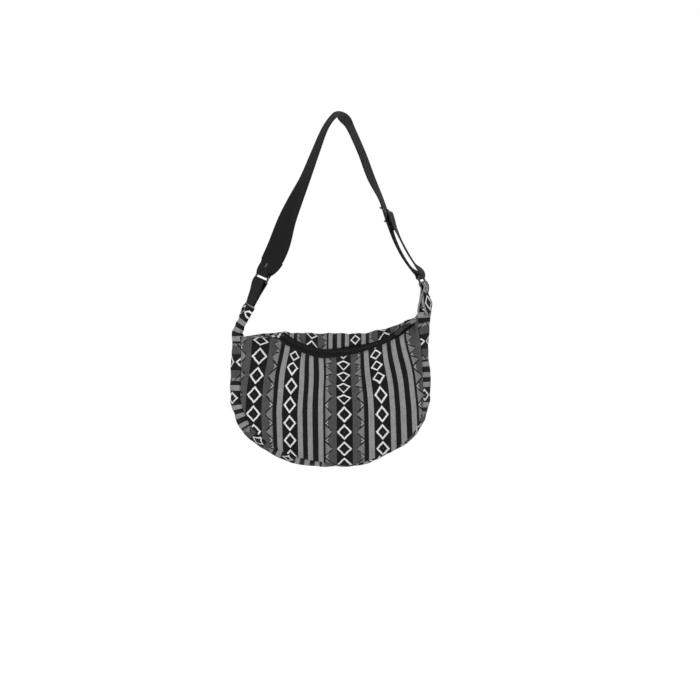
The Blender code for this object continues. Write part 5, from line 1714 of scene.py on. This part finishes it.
def build_hardware():
    for name, node, sign in (("front_coil", "zip_coil_front", 1), ("rear_coil", "zip_coil_rear", -1)):
        piece = coil_piece(name, sign)
        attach(piece, "root")
        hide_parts(node)
    inward = (STOP_LENGTH / 2 + GAP) / arc.length
    for name, node, share in (("left_stop", "zip_stop_left", inward),
                              ("right_stop", "zip_stop_right", 1 - inward)):
        stop = bar_stock((STOP_LENGTH, 2 * (COIL_SPREAD + COIL_RADIUS), STOP_HEIGHT))
        worked(stop, "BEVEL", width=0.45 * MM, segments=4, limit_method="NONE")
        fitted(stop, name, arc.at(share, 0, STOP_HEIGHT / 2),
               (arc.ahead(share), arc.radial(share), arc.normal), metal, "root", node)
    build_slider()
    build_pull()
    build_adjuster()
    build_ring("left_wire_ring", "left_ring", "ring_left", LEFT_RING, LEFT_AXES)
    build_ring("right_wire_ring", "right_ring", "ring_right", RIGHT_RING, RIGHT_AXES)


# ---------------------------------------------------------------- stage, light, camera

def build_stage():
    scene = bpy.context.scene
    bpy.ops.mesh.primitive_plane_add(size=12, location=(0, 0, -0.86))
    floor = bpy.context.object
    floor.name = "floor"
    nodes = Nodes("pale_floor")
    nodes.shader.inputs["Base Color"].default_value = (0.9, 0.9, 0.9, 1)
    nodes.shader.inputs["Roughness"].default_value = 1.0
    nodes.shader.inputs["Specular IOR Level"].default_value = 0.0
    nodes.shader.inputs["Emission Color"].default_value = (1, 1, 1, 1)
    seen = nodes.add("ShaderNodeLightPath")
    seen = nodes.value(seen.outputs["Is Camera Ray"]).most(seen.outputs["Is Glossy Ray"]).most(
        seen.outputs["Is Transmission Ray"])
    nodes.join(nodes.shader.inputs["Emission Strength"], seen * 0.62)
    floor.data.materials.append(nodes.look)

    world = bpy.data.worlds.new("studio")
    scene.world = world
    world.use_nodes = True
    tree = world.node_tree
    tree.nodes.clear()
    path = tree.nodes.new("ShaderNodeLightPath")
    seen = tree.nodes.new("ShaderNodeMath")
    seen.operation = "MAXIMUM"
    also = tree.nodes.new("ShaderNodeMath")
    also.operation = "MAXIMUM"
    tree.links.new(path.outputs["Is Camera Ray"], seen.inputs[0])
    tree.links.new(path.outputs["Is Glossy Ray"], seen.inputs[1])
    tree.links.new(seen.outputs[0], also.inputs[0])
    tree.links.new(path.outputs["Is Transmission Ray"], also.inputs[1])
    strength = tree.nodes.new("ShaderNodeMapRange")
    tree.links.new(also.outputs[0], strength.inputs["Value"])
    strength.inputs["To Min"].default_value = 0.62
    strength.inputs["To Max"].default_value = 1.0
    background = tree.nodes.new("ShaderNodeBackground")
    background.inputs["Color"].default_value = (1, 1, 1, 1)
    tree.links.new(strength.outputs[0], background.inputs["Strength"])
    out = tree.nodes.new("ShaderNodeOutputWorld")
    tree.links.new(background.outputs[0], out.inputs[0])

    for name, place, size, energy in (("key_light", (-0.9, -1.5, 0.7), 1.0, 16),
                                      ("fill_light", (1.3, -1.2, 0.1), 1.2, 7),
                                      ("rear_light", (0.2, 1.5, 0.6), 1.2, 9)):
        lamp = bpy.data.lights.new(name, "AREA")
        lamp.size, lamp.energy = size, energy
        item = bpy.data.objects.new(name, lamp)
        scene.collection.objects.link(item)
        item.location = place
        aim = np.array([0, 0, -0.35]) - np.array(place)
        item.rotation_euler = Vector(aim).to_track_quat("-Z", "Y").to_euler()

    lens = bpy.data.cameras.new("camera")
    camera = bpy.data.objects.new("camera", lens)
    scene.collection.objects.link(camera)
    distance = 3.0
    camera.location = ((350 - PHOTO_X0) * PIXEL, -distance, (PHOTO_Z0 - 350) * PIXEL)
    camera.rotation_euler = (math.radians(90), 0, 0)
    lens.sensor_width = 36
    lens.lens = 36 * distance / (700 * PIXEL)
    lens.clip_end = 50
    scene.camera = camera
    scene.view_settings.view_transform = "Standard"


build_front()
build_back()
build_gusset()
build_linings()
build_facings()
build_strap()
build_left_tab()
build_right_tab()
build_right_sleeve()
build_zip()
build_hardware()
build_stage()
